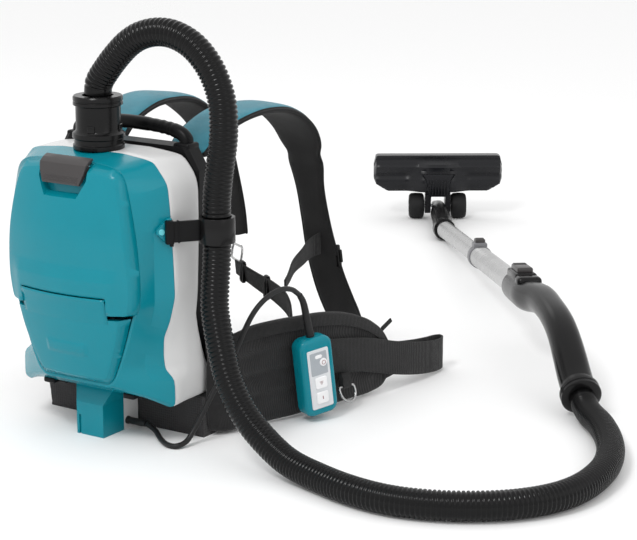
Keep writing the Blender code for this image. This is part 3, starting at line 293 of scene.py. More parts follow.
def grid_faces(body, rings, closed_across=True, closed_along=False, slot=0):
    """Quads between rings of verts."""
    made = []
    count = len(rings[0])
    spans = len(rings) if closed_along else len(rings) - 1
    sides = count if closed_across else count - 1
    for step in range(spans):
        here = rings[step]
        there = rings[(step + 1) % len(rings)]
        for side in range(sides):
            after = (side + 1) % count
            face = body.faces.new((here[side], here[after], there[after], there[side]))
            face.material_index = slot
            made.append(face)
    return made


def add_rings(body, rings):
    return [[body.verts.new(point) for point in ring] for ring in rings]


def cap(body, ring, slot=0):
    face = body.faces.new(ring)
    face.material_index = slot
    return face


def loft_body(rings, capped=True, closed_along=False, closed_across=True, body=None, slot=0):
    body = body or bmesh.new()
    verts = add_rings(body, rings)
    grid_faces(body, verts, closed_across, closed_along, slot)
    if capped and not closed_along:
        cap(body, verts[0][::-1], slot)
        cap(body, verts[-1], slot)
    return body


def catmull(points, per_span=12, closed=False):
    """Points on a Catmull-Rom curve through tuples of any length."""
    knots = [Vector(point) for point in points]
    if closed:
        knots = [knots[-1]] + knots + knots[:2]
    else:
        knots = [2 * knots[0] - knots[1]] + knots + [2 * knots[-1] - knots[-2]]
    fine = []
    for index in range(1, len(knots) - 2):
        p0, p1, p2, p3 = knots[index - 1:index + 3]
        for step in range(per_span):
            t = step / per_span
            fine.append(0.5 * (
                2 * p1 + (p2 - p0) * t + (2 * p0 - 5 * p1 + 4 * p2 - p3) * t * t
                + (3 * p1 - p0 - 3 * p2 + p3) * t ** 3
            ))
    if not closed:
        fine.append(knots[-2])
    return fine


def spaced(fine, spacing):
    """Points about one spacing apart along a fine polyline."""
    length = sum((b - a).length for a, b in zip(fine, fine[1:]))
    count = max(2, round(length / spacing))
    wanted = [length * step / count for step in range(1, count)]
    chosen = [fine[0]]
    walked = 0.0
    for a, b in zip(fine, fine[1:]):
        run = (b - a).length
        while wanted and wanted[0] <= walked + run:
            chosen.append(a.lerp(b, (wanted.pop(0) - walked) / run))
        walked += run
    return chosen + [fine[-1]]


def frames_along(path, up=Vector((0, 0, 1))):
    """(place, along, side, top) for each point, turned as little as possible from one to the next."""
    result = []
    side = None
    count = len(path)
    for index, point in enumerate(path):
        along = (path[min(index + 1, count - 1)] - path[max(index - 1, 0)]).normalized()
        if side is None:
            side = along.cross(up)
            if side.length < 0.05:
                side = along.cross(Vector((1, 0, 0)))
            side.normalize()
        side = (side - along * side.dot(along)).normalized()
        result.append((point, along, side, side.cross(along)))
    return result


def round_rings(path, radii, sides, up=Vector((0, 0, 1)), squash=(1.0, 1.0)):
    rings = []
    for (point, along, side, top), radius in zip(frames_along(path, up), radii):
        rings.append([
            point + (top * math.cos(angle) * squash[0] + side * math.sin(angle) * squash[1]) * radius
            for angle in (2 * math.pi * step / sides for step in range(sides))
        ])
    return rings


def turned_body(centre, axis, profile, sides=48, closed=False, body=None, slot=0, phase=0.0):
    along = Vector(axis).normalized()
    across = along.orthogonal().normalized()
    third = along.cross(across)
    rings = []
    for radius, height in profile:
        rings.append([
            Vector(centre) + along * height
            + (across * math.cos(angle) + third * math.sin(angle)) * radius
            for angle in (phase + 2 * math.pi * step / sides for step in range(sides))
        ])
    return loft_body(rings, capped=not closed, closed_along=closed, body=body, slot=slot)


def rounded_box(body, low, high, bevel, frame_matrix=None, segments=3, slot=0):
    """Adds a box with rounded edges to a body."""
    made = bmesh.ops.create_cube(body, size=1.0)["verts"]
    size = Vector(high) - Vector(low)
    middle = (Vector(high) + Vector(low)) / 2
    for vert in made:
        vert.co = Vector((vert.co.x * size.x, vert.co.y * size.y, vert.co.z * size.z)) + middle
    edges = {edge for vert in made for edge in vert.link_edges}
    faces = {face for vert in made for face in vert.link_faces}
    for face in faces:
        face.material_index = slot
    if bevel:
        done = bmesh.ops.bevel(body, geom=list(edges), offset=bevel, segments=segments, affect="EDGES",
                               profile=0.5)
        made = list({vert for face in done["faces"] for vert in face.verts} | {v for v in made if v.is_valid})
        for face in done["faces"]:
            face.material_index = slot
    if frame_matrix:
        for vert in made:
            vert.co = frame_matrix @ vert.co
    return made


def frame_on(origin, along, up=Vector((0, 0, 1))):
    """A frame whose Y runs along, whose X is level to the right and whose Z is up."""
    side = along.cross(up).normalized()
    top = side.cross(along)
    return Matrix((
        (side.x, along.x, top.x, origin[0]), (side.y, along.y, top.y, origin[1]),
        (side.z, along.z, top.z, origin[2]), (0, 0, 0, 1)
    ))


def smoothstep(low, high, value):
    t = max(0.0, min(1.0, (value - low) / (high - low)))
    return t * t * (3 - 2 * t)


def repaint(node, paint):
    """A better material on a CAD node that stays."""
    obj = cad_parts[node]
    for slot in obj.material_slots:
        slot.material = PAINTS[paint]


# ---------------------------------------------------------------- cords
HOSE_ROUTE = [
    (0.000, 0.000, 0.4053), (0.003, 0.000, 0.4200), (0.015, 0.001, 0.4370), (0.0295, 0.003, 0.4540),
    (0.0445, 0.005, 0.4680), (0.0615, 0.007, 0.4775), (0.0820, 0.010, 0.4820), (0.1040, 0.012, 0.4800),
    (0.1265, 0.015, 0.4690), (0.1455, 0.017, 0.4495), (0.1575, 0.019, 0.4255), (0.1625, 0.021, 0.4000),
    (0.1620, 0.022, 0.3667), (0.1560, 0.022, 0.3285), (0.1520, 0.022, 0.2980), (0.1515, 0.022, 0.2755),
    (0.1515, 0.022, 0.2455), (0.1515, 0.020, 0.2180), (0.1530, 0.015, 0.1940), (0.1565, 0.009, 0.1720),
    (0.1640, 0.003, 0.1510), (0.1760, -0.005, 0.1240), (0.1910, -0.012, 0.0935), (0.2120, -0.017, 0.0650),
    (0.2400, -0.022, 0.0420), (0.2830, -0.031, 0.0220), (0.3370, -0.046, 0.0170), (0.3880, -0.059, 0.0168),
    (0.4340, -0.061, 0.0168), (0.4770, -0.050, 0.0168), (0.5150, -0.030, 0.0168), (0.5480, -0.003, 0.0168),
    (0.5720, 0.030, 0.0168), (0.5850, 0.066, 0.0168), (0.5880, 0.106, 0.0168), (0.5820, 0.155, 0.0168),
    (0.5660, 0.204, 0.0168), (0.5430, 0.248, 0.0168), (0.5140, 0.289, 0.0170), (0.4870, 0.318, 0.0172),
    (0.4745, 0.3317, 0.0194), (0.4621, 0.3457, 0.0256),
]
CABLE_ROUTE = [
    (0.0489, 0.0160, 0.0105), (0.0640, 0.0120, 0.0065), (0.0850, -0.0040, 0.0036),
    (0.1030, -0.0150, 0.0034),
    (0.1160, -0.0145, 0.0040), (0.1210, -0.0020, 0.0070), (0.1230, 0.0100, 0.0180),
    (0.1290, 0.0190, 0.0360),
    (0.1390, 0.0270, 0.0620), (0.1480, 0.0400, 0.0860), (0.1545, 0.0520, 0.1090), (0.1620, 0.0620, 0.1360),
    (0.1690, 0.0720, 0.1560), (0.1750, 0.0880, 0.1690), (0.1800, 0.1080, 0.1745), (0.1835, 0.1260, 0.1715),
    (0.1850, 0.1400, 0.1625),
]
HOSE_DIAMETER = 0.033
HOSE_RIB = 0.0052
CABLE_DIAMETER = 0.0064
CLAMP_Z = (0.2455, 0.2755)


def suction_hose():
    """A ribbed hose; the rib count follows from its length."""
    path = spaced(catmull(HOSE_ROUTE), HOSE_RIB / 4)
    outer = HOSE_DIAMETER / 2
    profile = (outer - 0.0021, outer - 0.0002, outer, outer - 0.0002)
    radii = [profile[index % 4] for index in range(len(path))]
    cuff = 8
    for index in range(cuff):
        radii[index] = outer - 0.0004
        radii[-1 - index] = outer - 0.0004
    body = loft_body(round_rings(path, radii, 22))
    hose = finish_mesh("ribbed_hose", body, "hose", "pack", ["suction_hose"], sharp=None)
    line = spaced(catmull(HOSE_ROUTE), 0.012)


def remote_cable():
    path = spaced(catmull(CABLE_ROUTE), 0.003)
    body = loft_body(round_rings(path, [CABLE_DIAMETER / 2] * len(path), 14))
    cable = finish_mesh("remote_lead", body, "rubber", "pack", ["remote_cable"], sharp=None)
    line = spaced(catmull(CABLE_ROUTE), 0.006)


# ---------------------------------------------------------------- pack shells
COLUMNS = 24
SPLITS = 4
WALL = 0.0026
COVER_RIM_Y = -0.0520
FRAME_FRONT_Y = -0.0514
FRAME_MID_Y = -0.0300
SEAM_Y = -0.0120
SHELL_MID_Y = 0.0150
BAY_ROOF_Z = 0.0615
COVER_RIM = [
    (0.040, 0.3372), (0.064, 0.3335), (0.0765, 0.3245), (0.083, 0.304), (0.088, 0.280), (0.0925, 0.254),
    (0.0955, 0.226), (0.097, 0.199), (0.0955, 0.178), (0.0915, 0.1675), (0.083, 0.1640),
]
PANEL_RIM = [(0.0825, 0.1610), (0.0735, 0.130), (0.0625, 0.100), (0.0545, 0.083), (0.047, 0.0767)]
FRAME_FRONT = [
    (0.040, 0.3372), (0.064, 0.3335), (0.0765, 0.3245), (0.083, 0.304), (0.088, 0.280), (0.0925, 0.254),
    (0.0955, 0.226), (0.097, 0.199), (0.0955, 0.178), (0.0915, 0.1675), (0.0865, 0.158), (0.0775, 0.130),
    (0.0665, 0.100), (0.0585, 0.083), (0.051, 0.0760), (0.045, 0.0735), (0.030, 0.0730),
]
FRAME_MID = [
    (0.042, 0.3410), (0.070, 0.3370), (0.086, 0.3290), (0.1005, 0.309), (0.1005, 0.285), (0.1005, 0.254),
    (0.1005, 0.226), (0.1005, 0.199), (0.1005, 0.177), (0.0965, 0.160), (0.0905, 0.140), (0.086, 0.118),
    (0.083, 0.100), (0.093, 0.084), (0.090, 0.064), (0.082, 0.0618), (0.050, 0.0615),
]
SEAM = [
    (0.044, 0.3430), (0.078, 0.3395), (0.090, 0.3365), (0.1085, 0.314), (0.1115, 0.285), (0.1135, 0.254),
    (0.1150, 0.226), (0.1160, 0.199), (0.1165, 0.182), (0.1085, 0.152), (0.0995, 0.132), (0.0985, 0.110),
    (0.1005, 0.095), (0.1140, 0.0835), (0.1145, 0.0525), (0.1040, 0.0485), (0.0880, BAY_ROOF_Z),
]
SHELL_MID = [
    (0.044, 0.3430), (0.080, 0.3400), (0.0925, 0.337), (0.1105, 0.314), (0.1130, 0.285), (0.1145, 0.254),
    (0.1155, 0.226), (0.1160, 0.199), (0.1165, 0.182), (0.1150, 0.152), (0.1130, 0.132), (0.1130, 0.110),
    (0.1140, 0.095), (0.1155, 0.0835), (0.1155, 0.0540), (0.1080, 0.0510), (0.0880, BAY_ROOF_Z),
]
SHELL_BACK = [(0.045, 0.061), (0.070, 0.061), (0.152, 0.036), (0.300, 0.048), (0.350, 0.048)]
BAND_TOP_Z = 0.219
BAND_BOTTOM_Z = 0.205
BAND_DEPTH = 0.0036
TONGUE_HALF = 0.0617
TONGUE_TOP_Z = 0.1835
TONGUE_PROUD = 0.0052


def face_y(x, z):
    """The front face, crowned across the width and leaning back towards the top and the bottom."""
    lean = 1.5 if z > 0.235 else 0.85
    return -0.080 + 2.0 * x * x + lean * (z - 0.235) ** 2


def cover_face(x, z):
    """The cover's face with a slanting band: it stands a little prouder below the band."""
    step = min(1.0, max(0.0, (BAND_TOP_Z - z) / (BAND_TOP_Z - BAND_BOTTOM_Z)))
    side = 1.0 - smoothstep(0.068, 0.080, abs(x))
    return face_y(x, z) - BAND_DEPTH * step * side


def shell_back_y(z):
    for (low, y_low), (high, y_high) in zip(SHELL_BACK, SHELL_BACK[1:]):
        if z <= high:
            return y_low + (y_high - y_low) * (z - low) / (high - low)
    return SHELL_BACK[-1][1]


def rounded_half(half):
    """A smooth curve through the points of a half outline."""
    return [tuple(point) for point in catmull(half, SPLITS)]


def cornered_half(half, passes=2):
    """Straight runs between the points of a half outline, with small rounded corners."""
    fine = []
    for here, there in zip(half, half[1:]):
        for step in range(SPLITS):
            fine.append(Vector(here).lerp(Vector(there), step / SPLITS))
    fine.append(Vector(half[-1]))
    for _ in range(passes):
        fine = [fine[0]] + [
            (before + here * 2 + after) / 4 for before, here, after in zip(fine, fine[1:], fine[2:])
        ] + [fine[-1]]
    return [tuple(point) for point in fine]


def full_outline(half):
    """The right half, the bottom edge in columns, the left half and the top edge in columns."""
    steps = [1 - 2 * column / COLUMNS for column in range(1, COLUMNS)]
    bottom = [(half[-1][0] * step, half[-1][1]) for step in steps]
    top = [(-half[0][0] * step, half[0][1]) for step in steps]
    return list(half) + bottom + [(-x, z) for x, z in reversed(half)] + top


def inset(outline, distance):
    """The closed outline moved inwards by a distance."""
    moved = []
    count = len(outline)
    for index, here in enumerate(outline):
        spot = Vector(here)
        edges = (
            (spot - Vector(outline[index - 1])).normalized(),
            (Vector(outline[(index + 1) % count]) - spot).normalized(),
        )
        normals = [Vector((edge.y, -edge.x)) for edge in edges]
        middle = (normals[0] + normals[1]).normalized()
        moved.append(tuple(spot + middle * distance / max(middle.dot(normals[0]), 0.5)))
    return moved


def ring_at(outline, depth):
    if callable(depth):
        return [Vector((x, depth(x, z), z)) for x, z in outline]
    return [Vector((x, depth, z)) for x, z in outline]


def grid_cap(body, ring, half_count, depth):
    """Closes a ring with rungs between its right and left halves, on a surface."""
    rows = []
    first_left = 2 * half_count + COLUMNS - 1
    for rung in range(half_count):
        left = 2 * half_count + COLUMNS - 2 - rung
        if rung == 0:
            inner = [ring[first_left + COLUMNS - 2 - step] for step in range(COLUMNS - 1)]
        elif rung == half_count - 1:
            inner = [ring[half_count + step] for step in range(COLUMNS - 1)]
        else:
            inner = []
            for column in range(1, COLUMNS):
                spot = ring[rung].co.lerp(ring[left].co, column / COLUMNS)
                spot.y = depth(spot.x, spot.z)
                inner.append(body.verts.new(spot))
        rows.append([ring[rung]] + inner + [ring[left]])
    for upper, lower in zip(rows, rows[1:]):
        for column in range(COLUMNS):
            body.faces.new((upper[column], upper[column + 1], lower[column + 1], lower[column]))


def inset_half(half, distance, level=None):
    """A half outline moved inwards; a point inside the level range keeps close to its height."""
    mirrored = [(-x, z) for x, z in reversed(half)]
    moved = inset(list(half) + mirrored, distance)[:len(half)]
    if not level:
        return moved
    low, high = level
    return [(x, z + (new_z - z) * 0.2) if low < z < high else (x, new_z)
            for (x, new_z), (_, z) in zip(moved, half)]


def crowned_sheet(half, rim_y, steps, face, level):
    """The outer skin of a tray: rings from the rim to the face, then a grid over the face."""
    body = bmesh.new()
    rings = [ring_at(full_outline(rounded_half(half)), rim_y)]
    for distance, lift in steps:
        outline = full_outline(rounded_half(inset_half(half, distance, level)))
        rings.append(ring_at(outline, lambda x, z, lift=lift: face(x, z) + lift))
    verts = add_rings(body, rings)
    grid_faces(body, verts)
    grid_cap(body, verts[-1], len(rounded_half(half)), face)
    return body


def split(body, point, normal):
    bmesh.ops.bisect_plane(
        body, geom=body.verts[:] + body.edges[:] + body.faces[:], plane_co=point, plane_no=normal, dist=1e-6
    )


def solid(obj, thickness, offset=-1.0):
    modifier = obj.modifiers.new("thickness", "SOLIDIFY")
    modifier.thickness = thickness
    modifier.offset = offset


def cover_piece():
    steps = [(0.0078, 0.0016), (0.0092, 0.0003), (0.0112, 0.0)]
    body = crowned_sheet(COVER_RIM, COVER_RIM_Y, steps, cover_face, (0.15, 0.170))
    for side in (-1, 1):
        split(body, (side * 0.0623, 0, 0), (1, 0, 0))
        split(body, (side * 0.0235, 0, 0.2975), (side * 0.0195, 0, -0.0105))
        split(body, (side * 0.0345, 0, 0), (1, 0, 0))
    split(body, (0, 0, 0.1862), (0, 0, 1))
    split(body, (0, 0, 0.2975), (0, 0, 1))
    split(body, (0, 0, BAND_TOP_Z), (0, 0, 1))
    split(body, (0, 0, BAND_BOTTOM_Z), (0, 0, 1))
    for vert in body.verts:
        if vert.co.y < COVER_RIM_Y - 0.004 and BAND_BOTTOM_Z - 0.012 < vert.co.z < BAND_TOP_Z + 0.004:
            if abs(vert.co.x) < 0.080:
                vert.co.y = cover_face(vert.co.x, vert.co.z)
    doomed = [
        face for face in body.faces
        if abs(face.calc_center_median().x) < 0.0623 and face.calc_center_median().z < 0.1862
    ]
    bmesh.ops.delete(body, geom=doomed, context="FACES")
    recess = []
    for face in body.faces:
        middle = face.calc_center_median()
        if middle.z > 0.2975 and abs(middle.x) < min(0.0345, 0.0235 + (middle.z - 0.2975) * 0.5385):
            recess.append(face)
    grown = bmesh.ops.extrude_face_region(body, geom=recess)
    moved = [item for item in grown["geom"] if isinstance(item, bmesh.types.BMVert)]
    for vert in moved:
        vert.co.y = min(vert.co.y + 0.0115, -0.0552)
        if vert.co.z < 0.3000:
            vert.co.z += 0.0040
        vert.co.x *= 0.965
    bmesh.ops.delete(body, geom=recess, context="FACES_ONLY")
    cover = finish_mesh("cover_shell", body, "teal", "cover", ["front_cover"], sharp=40,
                        bevel=(0.0007, 24))
    solid(cover, 0.0022)
    body = bmesh.new()
    rounded_box(body, (-0.0265, -0.0600, 0.3035), (0.0265, -0.0548, 0.3060), 0.0008)
    finish_mesh("latch_ledge", body, "teal", "cover")


def panel_piece():
    def face(x, z):
        raised = smoothstep(0.110, 0.1145, z) * (1 - smoothstep(0.1235, 0.128, z))
        raised *= 1 - smoothstep(0.026, 0.031, abs(x))
        return face_y(x, z) - 0.0010 - 0.0016 * raised

    body = crowned_sheet(PANEL_RIM, COVER_RIM_Y + 0.0002,
                         [(0.0055, 0.0018), (0.0068, 0.0004), (0.0085, 0.0)],
                         face, (0.155, 0.170))
    for z in (0.1090, 0.1120, 0.1145, 0.1190, 0.1235, 0.1260, 0.1285):
        split(body, (0, 0, z), (0, 0, 1))
    for x in (0.024, 0.0265, 0.029, 0.0315):
        split(body, (x, 0, 0), (1, 0, 0))
        split(body, (-x, 0, 0), (1, 0, 0))
    for vert in body.verts:
        if abs(vert.co.x) < 0.033 and 0.108 < vert.co.z < 0.129 and vert.co.y < -0.057:
            vert.co.y = face(vert.co.x, vert.co.z)
    panel = finish_mesh("lower_panel_shell", body, "teal", "pack", ["lower_front_panel"],
                        sharp=40,
                        bevel=(0.0007, 24))
    solid(panel, 0.0022)
    body = bmesh.new()
    rings = []
    for z, lift in ((0.1480, 0.0), (0.1560, -0.0012), (0.1660, -0.0024), (0.1750, -0.0029),
                    (TONGUE_TOP_Z - 0.0008, -TONGUE_PROUD), (TONGUE_TOP_Z + 0.0012, -TONGUE_PROUD + 0.0012),
                    (TONGUE_TOP_Z + 0.0014, 0.0010)):
        xs = [TONGUE_HALF * (column - 12) / 12 for column in range(25)]
        rings.append([Vector((x, face_y(x, z) + lift, z)) for x in xs])
    loft_body(rings, capped=False, closed_across=False, body=body)
    tongue = finish_mesh("panel_tongue", body, "teal", "pack", sharp=30)
    solid(tongue, 0.0018)


def frame_piece():
    front = full_outline(rounded_half(FRAME_FRONT))
    middle = full_outline(cornered_half(FRAME_MID, 1))
    seam = full_outline(cornered_half(SEAM, 1))
    outer = [
        ring_at(inset(front, 0.0035), FRAME_FRONT_Y), ring_at(front, FRAME_FRONT_Y + 0.0004),
        ring_at(middle, FRAME_MID_Y), ring_at(seam, SEAM_Y - 0.0012),
        ring_at(inset(seam, 0.0006), SEAM_Y - 0.0002),
    ]
    inner = [ring_at(inset(seam, WALL), SEAM_Y - 0.0002), ring_at(inset(middle, WALL), FRAME_MID_Y),
             ring_at(inset(front, 0.0040), FRAME_FRONT_Y + 0.0020)]
    body = loft_body(outer + inner, closed_along=True)
    finish_mesh("front_frame", body, "teal", "pack", ["front_housing"], sharp=22,
                bevel=(0.0009, 14))


def white_shell():
    seam = full_outline(cornered_half(SEAM, 1))
    middle = full_outline(cornered_half(SHELL_MID, 3))
    rings = [ring_at(inset(seam, WALL), SEAM_Y), ring_at(inset(seam, 0.0006), SEAM_Y),
             ring_at(seam, SEAM_Y + 0.0008)]
    for share in (0.33, 0.66, 1.0):
        eased = share * share * (3 - 2 * share)
        mixed = [tuple(Vector(a).lerp(Vector(b), eased)) for a, b in zip(seam, middle)]
        rings.append(ring_at(mixed, SEAM_Y + 0.0008 + (SHELL_MID_Y - SEAM_Y) * share))
    for angle in (0, 15, 30, 45, 60, 75, 90):
        turn = math.radians(angle)
        drop = 0.0120 * (1 - math.sin(turn))
        outline = full_outline(cornered_half(inset_half(SHELL_MID, 0.0100 * (1 - math.cos(turn))), 3))
        rings.append(ring_at(outline, lambda x, z, drop=drop: shell_back_y(z) - drop))
    body = bmesh.new()
    verts = add_rings(body, rings)
    grid_faces(body, verts)
    grid_cap(body, verts[-1], len(rounded_half(SEAM)), lambda x, z: shell_back_y(z))
    finish_mesh("white_shell", body, "white", "pack", ["rear_housing"], sharp=50)


def latch_piece():
    outline = [
        (-0.0716, 0.3140), (-0.0708, 0.3122), (-0.0688, 0.3122), (-0.0660, 0.3150), (-0.0610, 0.3300),
        (-0.0572, 0.3370), (-0.0535, 0.3392), (-0.0532, 0.3422),
        (-0.0600, 0.3395), (-0.0660, 0.3350), (-0.0684, 0.3270), (-0.0702, 0.3200),
    ]
    body = bmesh.new()
    rings = []
    for share in (-1.0, -0.985, -0.5, 0.0, 0.5, 0.985, 1.0):
        ring = []
        for y, z in outline:
            half = 0.0262 + 0.0076 * smoothstep(0.308, 0.334, z)
            shrink = 0.0005 if abs(share) == 1.0 else 0.0
            ring.append(Vector((half * share, y + shrink, z)))
        rings.append(ring)
    loft_body(rings, body=body)
    for step in range(4):
        z = 0.3142 + 0.0021 * step
        y = -0.0721 + (z - 0.3135) * 0.235
        rounded_box(body, (-0.0245, y, z), (0.0245, y + 0.0012, z + 0.0010), 0.0003, segments=1)
    finish_mesh("latch_lever_shell", body, "latch", "latch_lever", ["latch"], sharp=24,
                bevel=(0.0006, 20))
    body = bmesh.new()
    rounded_box(body, (-0.0300, -0.0480, 0.3365), (0.0300, -0.0455, 0.3402), 0.0008)
    finish_mesh("catch_ridge", body, "teal", "pack")


def inlet_piece():
    profile = [
        (0.0183, 0.3434), (0.0300, 0.3434), (0.0300, 0.3480), (0.0286, 0.3492), (0.0286, 0.3548),
        (0.0304, 0.3560), (0.0304, 0.3612), (0.0286, 0.3624), (0.0270, 0.3640), (0.0262, 0.3660),
        (0.0262, 0.3928), (0.0290, 0.3942), (0.0290, 0.3975), (0.0282, 0.3980), (0.0282, 0.3990),
        (0.0290, 0.3995), (0.0290, 0.4032), (0.0278, 0.4050), (0.0183, 0.4050),
    ]
    body = turned_body((0, 0, 0), (0, 0, 1), profile, sides=72, closed=True)
    for angle in range(0, 360, 90):
        turn = Matrix.Rotation(math.radians(angle + 20), 4, "Z")
        rounded_box(body, (0.0255, -0.0045, 0.3640), (0.0278, 0.0045, 0.3720), 0.0006, turn)
    finish_mesh("inlet_socket", body, "satin_black", "pack", ["inlet_pipe"], sharp=32,
                bevel=(0.0004, 30))


def handle_piece():
    path = catmull([
        (-0.0800, 0.062, 0.3455), (-0.0790, 0.0625, 0.3520), (-0.069, 0.063, 0.3585),
        (-0.045, 0.064, 0.3625),
        (0.0, 0.064, 0.3645), (0.045, 0.064, 0.3625), (0.069, 0.063, 0.3585), (0.0790, 0.0625, 0.3520),
        (0.0800, 0.062, 0.3455),
    ], 10)
    radii = []
    for point in path:
        rib = 0.0
        if 0.020 < point.x < 0.060 and point.z > 0.357:
            rib = 0.0009 * (0.5 + 0.5 * math.cos((point.x - 0.020) / 0.010 * 2 * math.pi))
        radii.append(0.0083 - rib)
    body = loft_body(round_rings(path, radii, 24, up=Vector((0, 1, 0))))
    for side in (-1, 1):
        rounded_box(body, (side * 0.080 - 0.0115, 0.0500, 0.3390), (side * 0.080 + 0.0115, 0.0730, 0.3480),
                    0.003)
    finish_mesh("top_handle", body, "black", "pack", ["carry_handle"], sharp=50)


def holder_frame():
    facet = Vector((0.0140, 0.0180, 0.0)).normalized()
    out = Vector((facet.y, -facet.x, 0.0))
    return Matrix((
        (facet.x, out.x, 0.0, 0.1078), (facet.y, out.y, 0.0, -0.0209), (0.0, 0.0, 1.0, 0.2610), (0, 0, 0, 1)
    ))


def holder_piece():
    place = holder_frame()
    body = bmesh.new()
    plate = [(-0.0095, 0.0025), (-0.0095, -0.0025), (0.0035, -0.0150), (0.0090, -0.0150), (0.0090, 0.0150),
             (0.0035, 0.0150)]
    rings = []
    for y, size in ((0.0000, 1.0), (0.0042, 1.0), (0.0052, 0.93)):
        rings.append([place @ Vector((x * size, y, z * size)) for x, z in plate])
    loft_body(rings, body=body)
    finish_mesh("holder_plate", body, "teal", "pack", ["hose_bracket"], bevel=(0.0006, 24))
    screw = [(0.0036, 0.0050), (0.0036, 0.0060), (0.0030, 0.0067), (0.0010, 0.0067)]
    centre = place @ Vector((-0.0035, 0, 0))
    body = turned_body(centre, place.to_3x3() @ Vector((0, 1, 0)), screw, sides=24)
    finish_mesh("holder_screw", body, "screw_teal", "pack")
    start = place @ Vector((0.0030, 0.0080, 0.0))
    centre = Vector((0.1515, 0.0220, start.z))
    along = (centre - start)
    reach = along.length - 0.0205
    arm = frame_on(start, along.normalized())
    body = bmesh.new()
    rounded_box(body, (-0.0030, -0.001, -0.0120), (0.0030, reach, 0.0120), 0.0010, arm)
    rounded_box(body, (-0.0042, -0.003, -0.0135), (0.0046, 0.0065, 0.0135), 0.0012, arm)
    rounded_box(body, (-0.0040, 0.0110, -0.0128), (0.0036, 0.0135, 0.0128), 0.0008, arm)
    rounded_box(body, (-0.0024, 0.0020, -0.0168), (0.0024, 0.0062, -0.0120), 0.0010, arm)
    finish_mesh("holder_arm", body, "black", "pack", ["clamp_arm"])
    height = CLAMP_Z[1] - CLAMP_Z[0]
    profile = [(0.0171, 0.0), (0.0205, 0.0), (0.0211, 0.0010), (0.0211, height - 0.0010), (0.0205, height),
               (0.0171, height)]
    body = turned_body((0.1515, 0.0220, CLAMP_Z[0]), (0, 0, 1), profile, sides=64, closed=True)
    finish_mesh("holder_ring", body, "satin_black", "pack", ["clamp_ring"], sharp=40)


def feet_pieces():
    for side, name in ((-1, "foot_left"), (1, "foot_right")):
        body = bmesh.new()
        xs = sorted((side * 0.0685, side * 0.0520))
        rounded_box(body, (xs[0], -0.0330, 0.0560), (xs[1], -0.0200, 0.0630), 0.0022)
        finish_mesh(name, body, "black", "pack")


def soften_node(node, width, angle=30):
    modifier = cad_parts[node].modifiers.new("bevel", "BEVEL")
    modifier.width = width
    modifier.segments = 3
    modifier.limit_method = "ANGLE"
    modifier.angle_limit = math.radians(angle)
    modifier.harden_normals = True


def pack_pieces():
    cover_piece()
    panel_piece()
    frame_piece()
    white_shell()
    latch_piece()
    inlet_piece()
    handle_piece()
    holder_piece()
    feet_pieces()
    soften_node("divider_front", 0.0009)
    soften_node("divider_rear", 0.0009)
    soften_node("back_plate", 0.0020, 20)


# ---------------------------------------------------------------- harness
STRAP_NEAR = [
    ((0.062, 0.0860, 0.3300), 0.027), ((0.066, 0.1100, 0.3500), 0.030), ((0.073, 0.1450, 0.3650), 0.033),
    ((0.081, 0.1850, 0.3710), 0.034), ((0.088, 0.2300, 0.3640), 0.033), ((0.091, 0.2700, 0.3380), 0.032),
    ((0.090, 0.2950, 0.3000), 0.027), ((0.089, 0.3100, 0.2560), 0.020), ((0.090, 0.3220, 0.2100), 0.020),
    ((0.095, 0.3280, 0.1700), 0.022), ((0.108, 0.3280, 0.1300), 0.022), ((0.130, 0.3200, 0.0980), 0.020),
    ((0.152, 0.3080, 0.0800), 0.016),
]
STRAP_FAR = [
    ((-0.062, 0.0860, 0.3300), 0.027), ((-0.066, 0.1100, 0.3500), 0.030), ((-0.068, 0.1450, 0.3650), 0.033),
    ((-0.066, 0.1850, 0.3710), 0.034), ((-0.060, 0.2300, 0.3640), 0.033), ((-0.050, 0.2650, 0.3380), 0.030),
    ((-0.040, 0.2860, 0.3000), 0.024), ((-0.030, 0.2960, 0.2560), 0.018), ((-0.020, 0.2980, 0.2150), 0.015),
    ((-0.012, 0.2950, 0.1800), 0.013),
]
BELT_WING = [
    ((0.1184, 0.0390), (0.1184, 0.0930), 0.0005, 0.117), ((0.1310, 0.0480), (0.1270, 0.0950), 0.0, 0.119),
    ((0.1410, 0.0660), (0.1290, 0.0990), 0.0, 0.123), ((0.1500, 0.1000), (0.1345, 0.1050), 0.0, 0.127),
    ((0.1610, 0.1320), (0.1455, 0.1370), 0.0, 0.128), ((0.1705, 0.1620), (0.1550, 0.1665), 0.0, 0.127),
    ((0.1800, 0.1980), (0.1640, 0.2020), 0.0, 0.125), ((0.1885, 0.2330), (0.1725, 0.2365), 0.0, 0.119),
    ((0.1960, 0.2650), (0.1800, 0.2680), 0.0, 0.108), ((0.2005, 0.2860), (0.1850, 0.2885), 0.001, 0.096),
    ((0.2040, 0.3040), (0.1900, 0.3060), 0.006, 0.080), ((0.2060, 0.3160), (0.1960, 0.3170), 0.018, 0.058),
]
LUMBAR = [
    (0.0385, 0.004), (0.0420, 0.0), (0.0885, 0.0), (0.0925, 0.006), (0.0925, 0.122), (0.0890, 0.1300),
    (0.0800, 0.1300), (0.0768, 0.125), (0.0768, 0.0545), (0.0745, 0.0490), (0.0420, 0.0490),
    (0.0385, 0.0450),
]
STRAP_SECTION = [
    (1.0, 0.0), (0.95, 0.62), (0.82, 0.95), (0.45, 1.16), (0.0, 1.22), (-0.45, 1.16), (-0.82, 0.95),
    (-0.95, 0.62), (-1.0, 0.0), (-0.95, -0.62), (-0.82, -0.90), (-0.45, -1.02), (0.0, -1.04), (0.45, -1.02),
    (0.82, -0.90), (0.95, -0.62),
]
PIPING_RADIUS = 0.0022
PINCH_Z = 0.300


def crumple(point, amount, scale):
    return noise.noise(point * scale) * amount


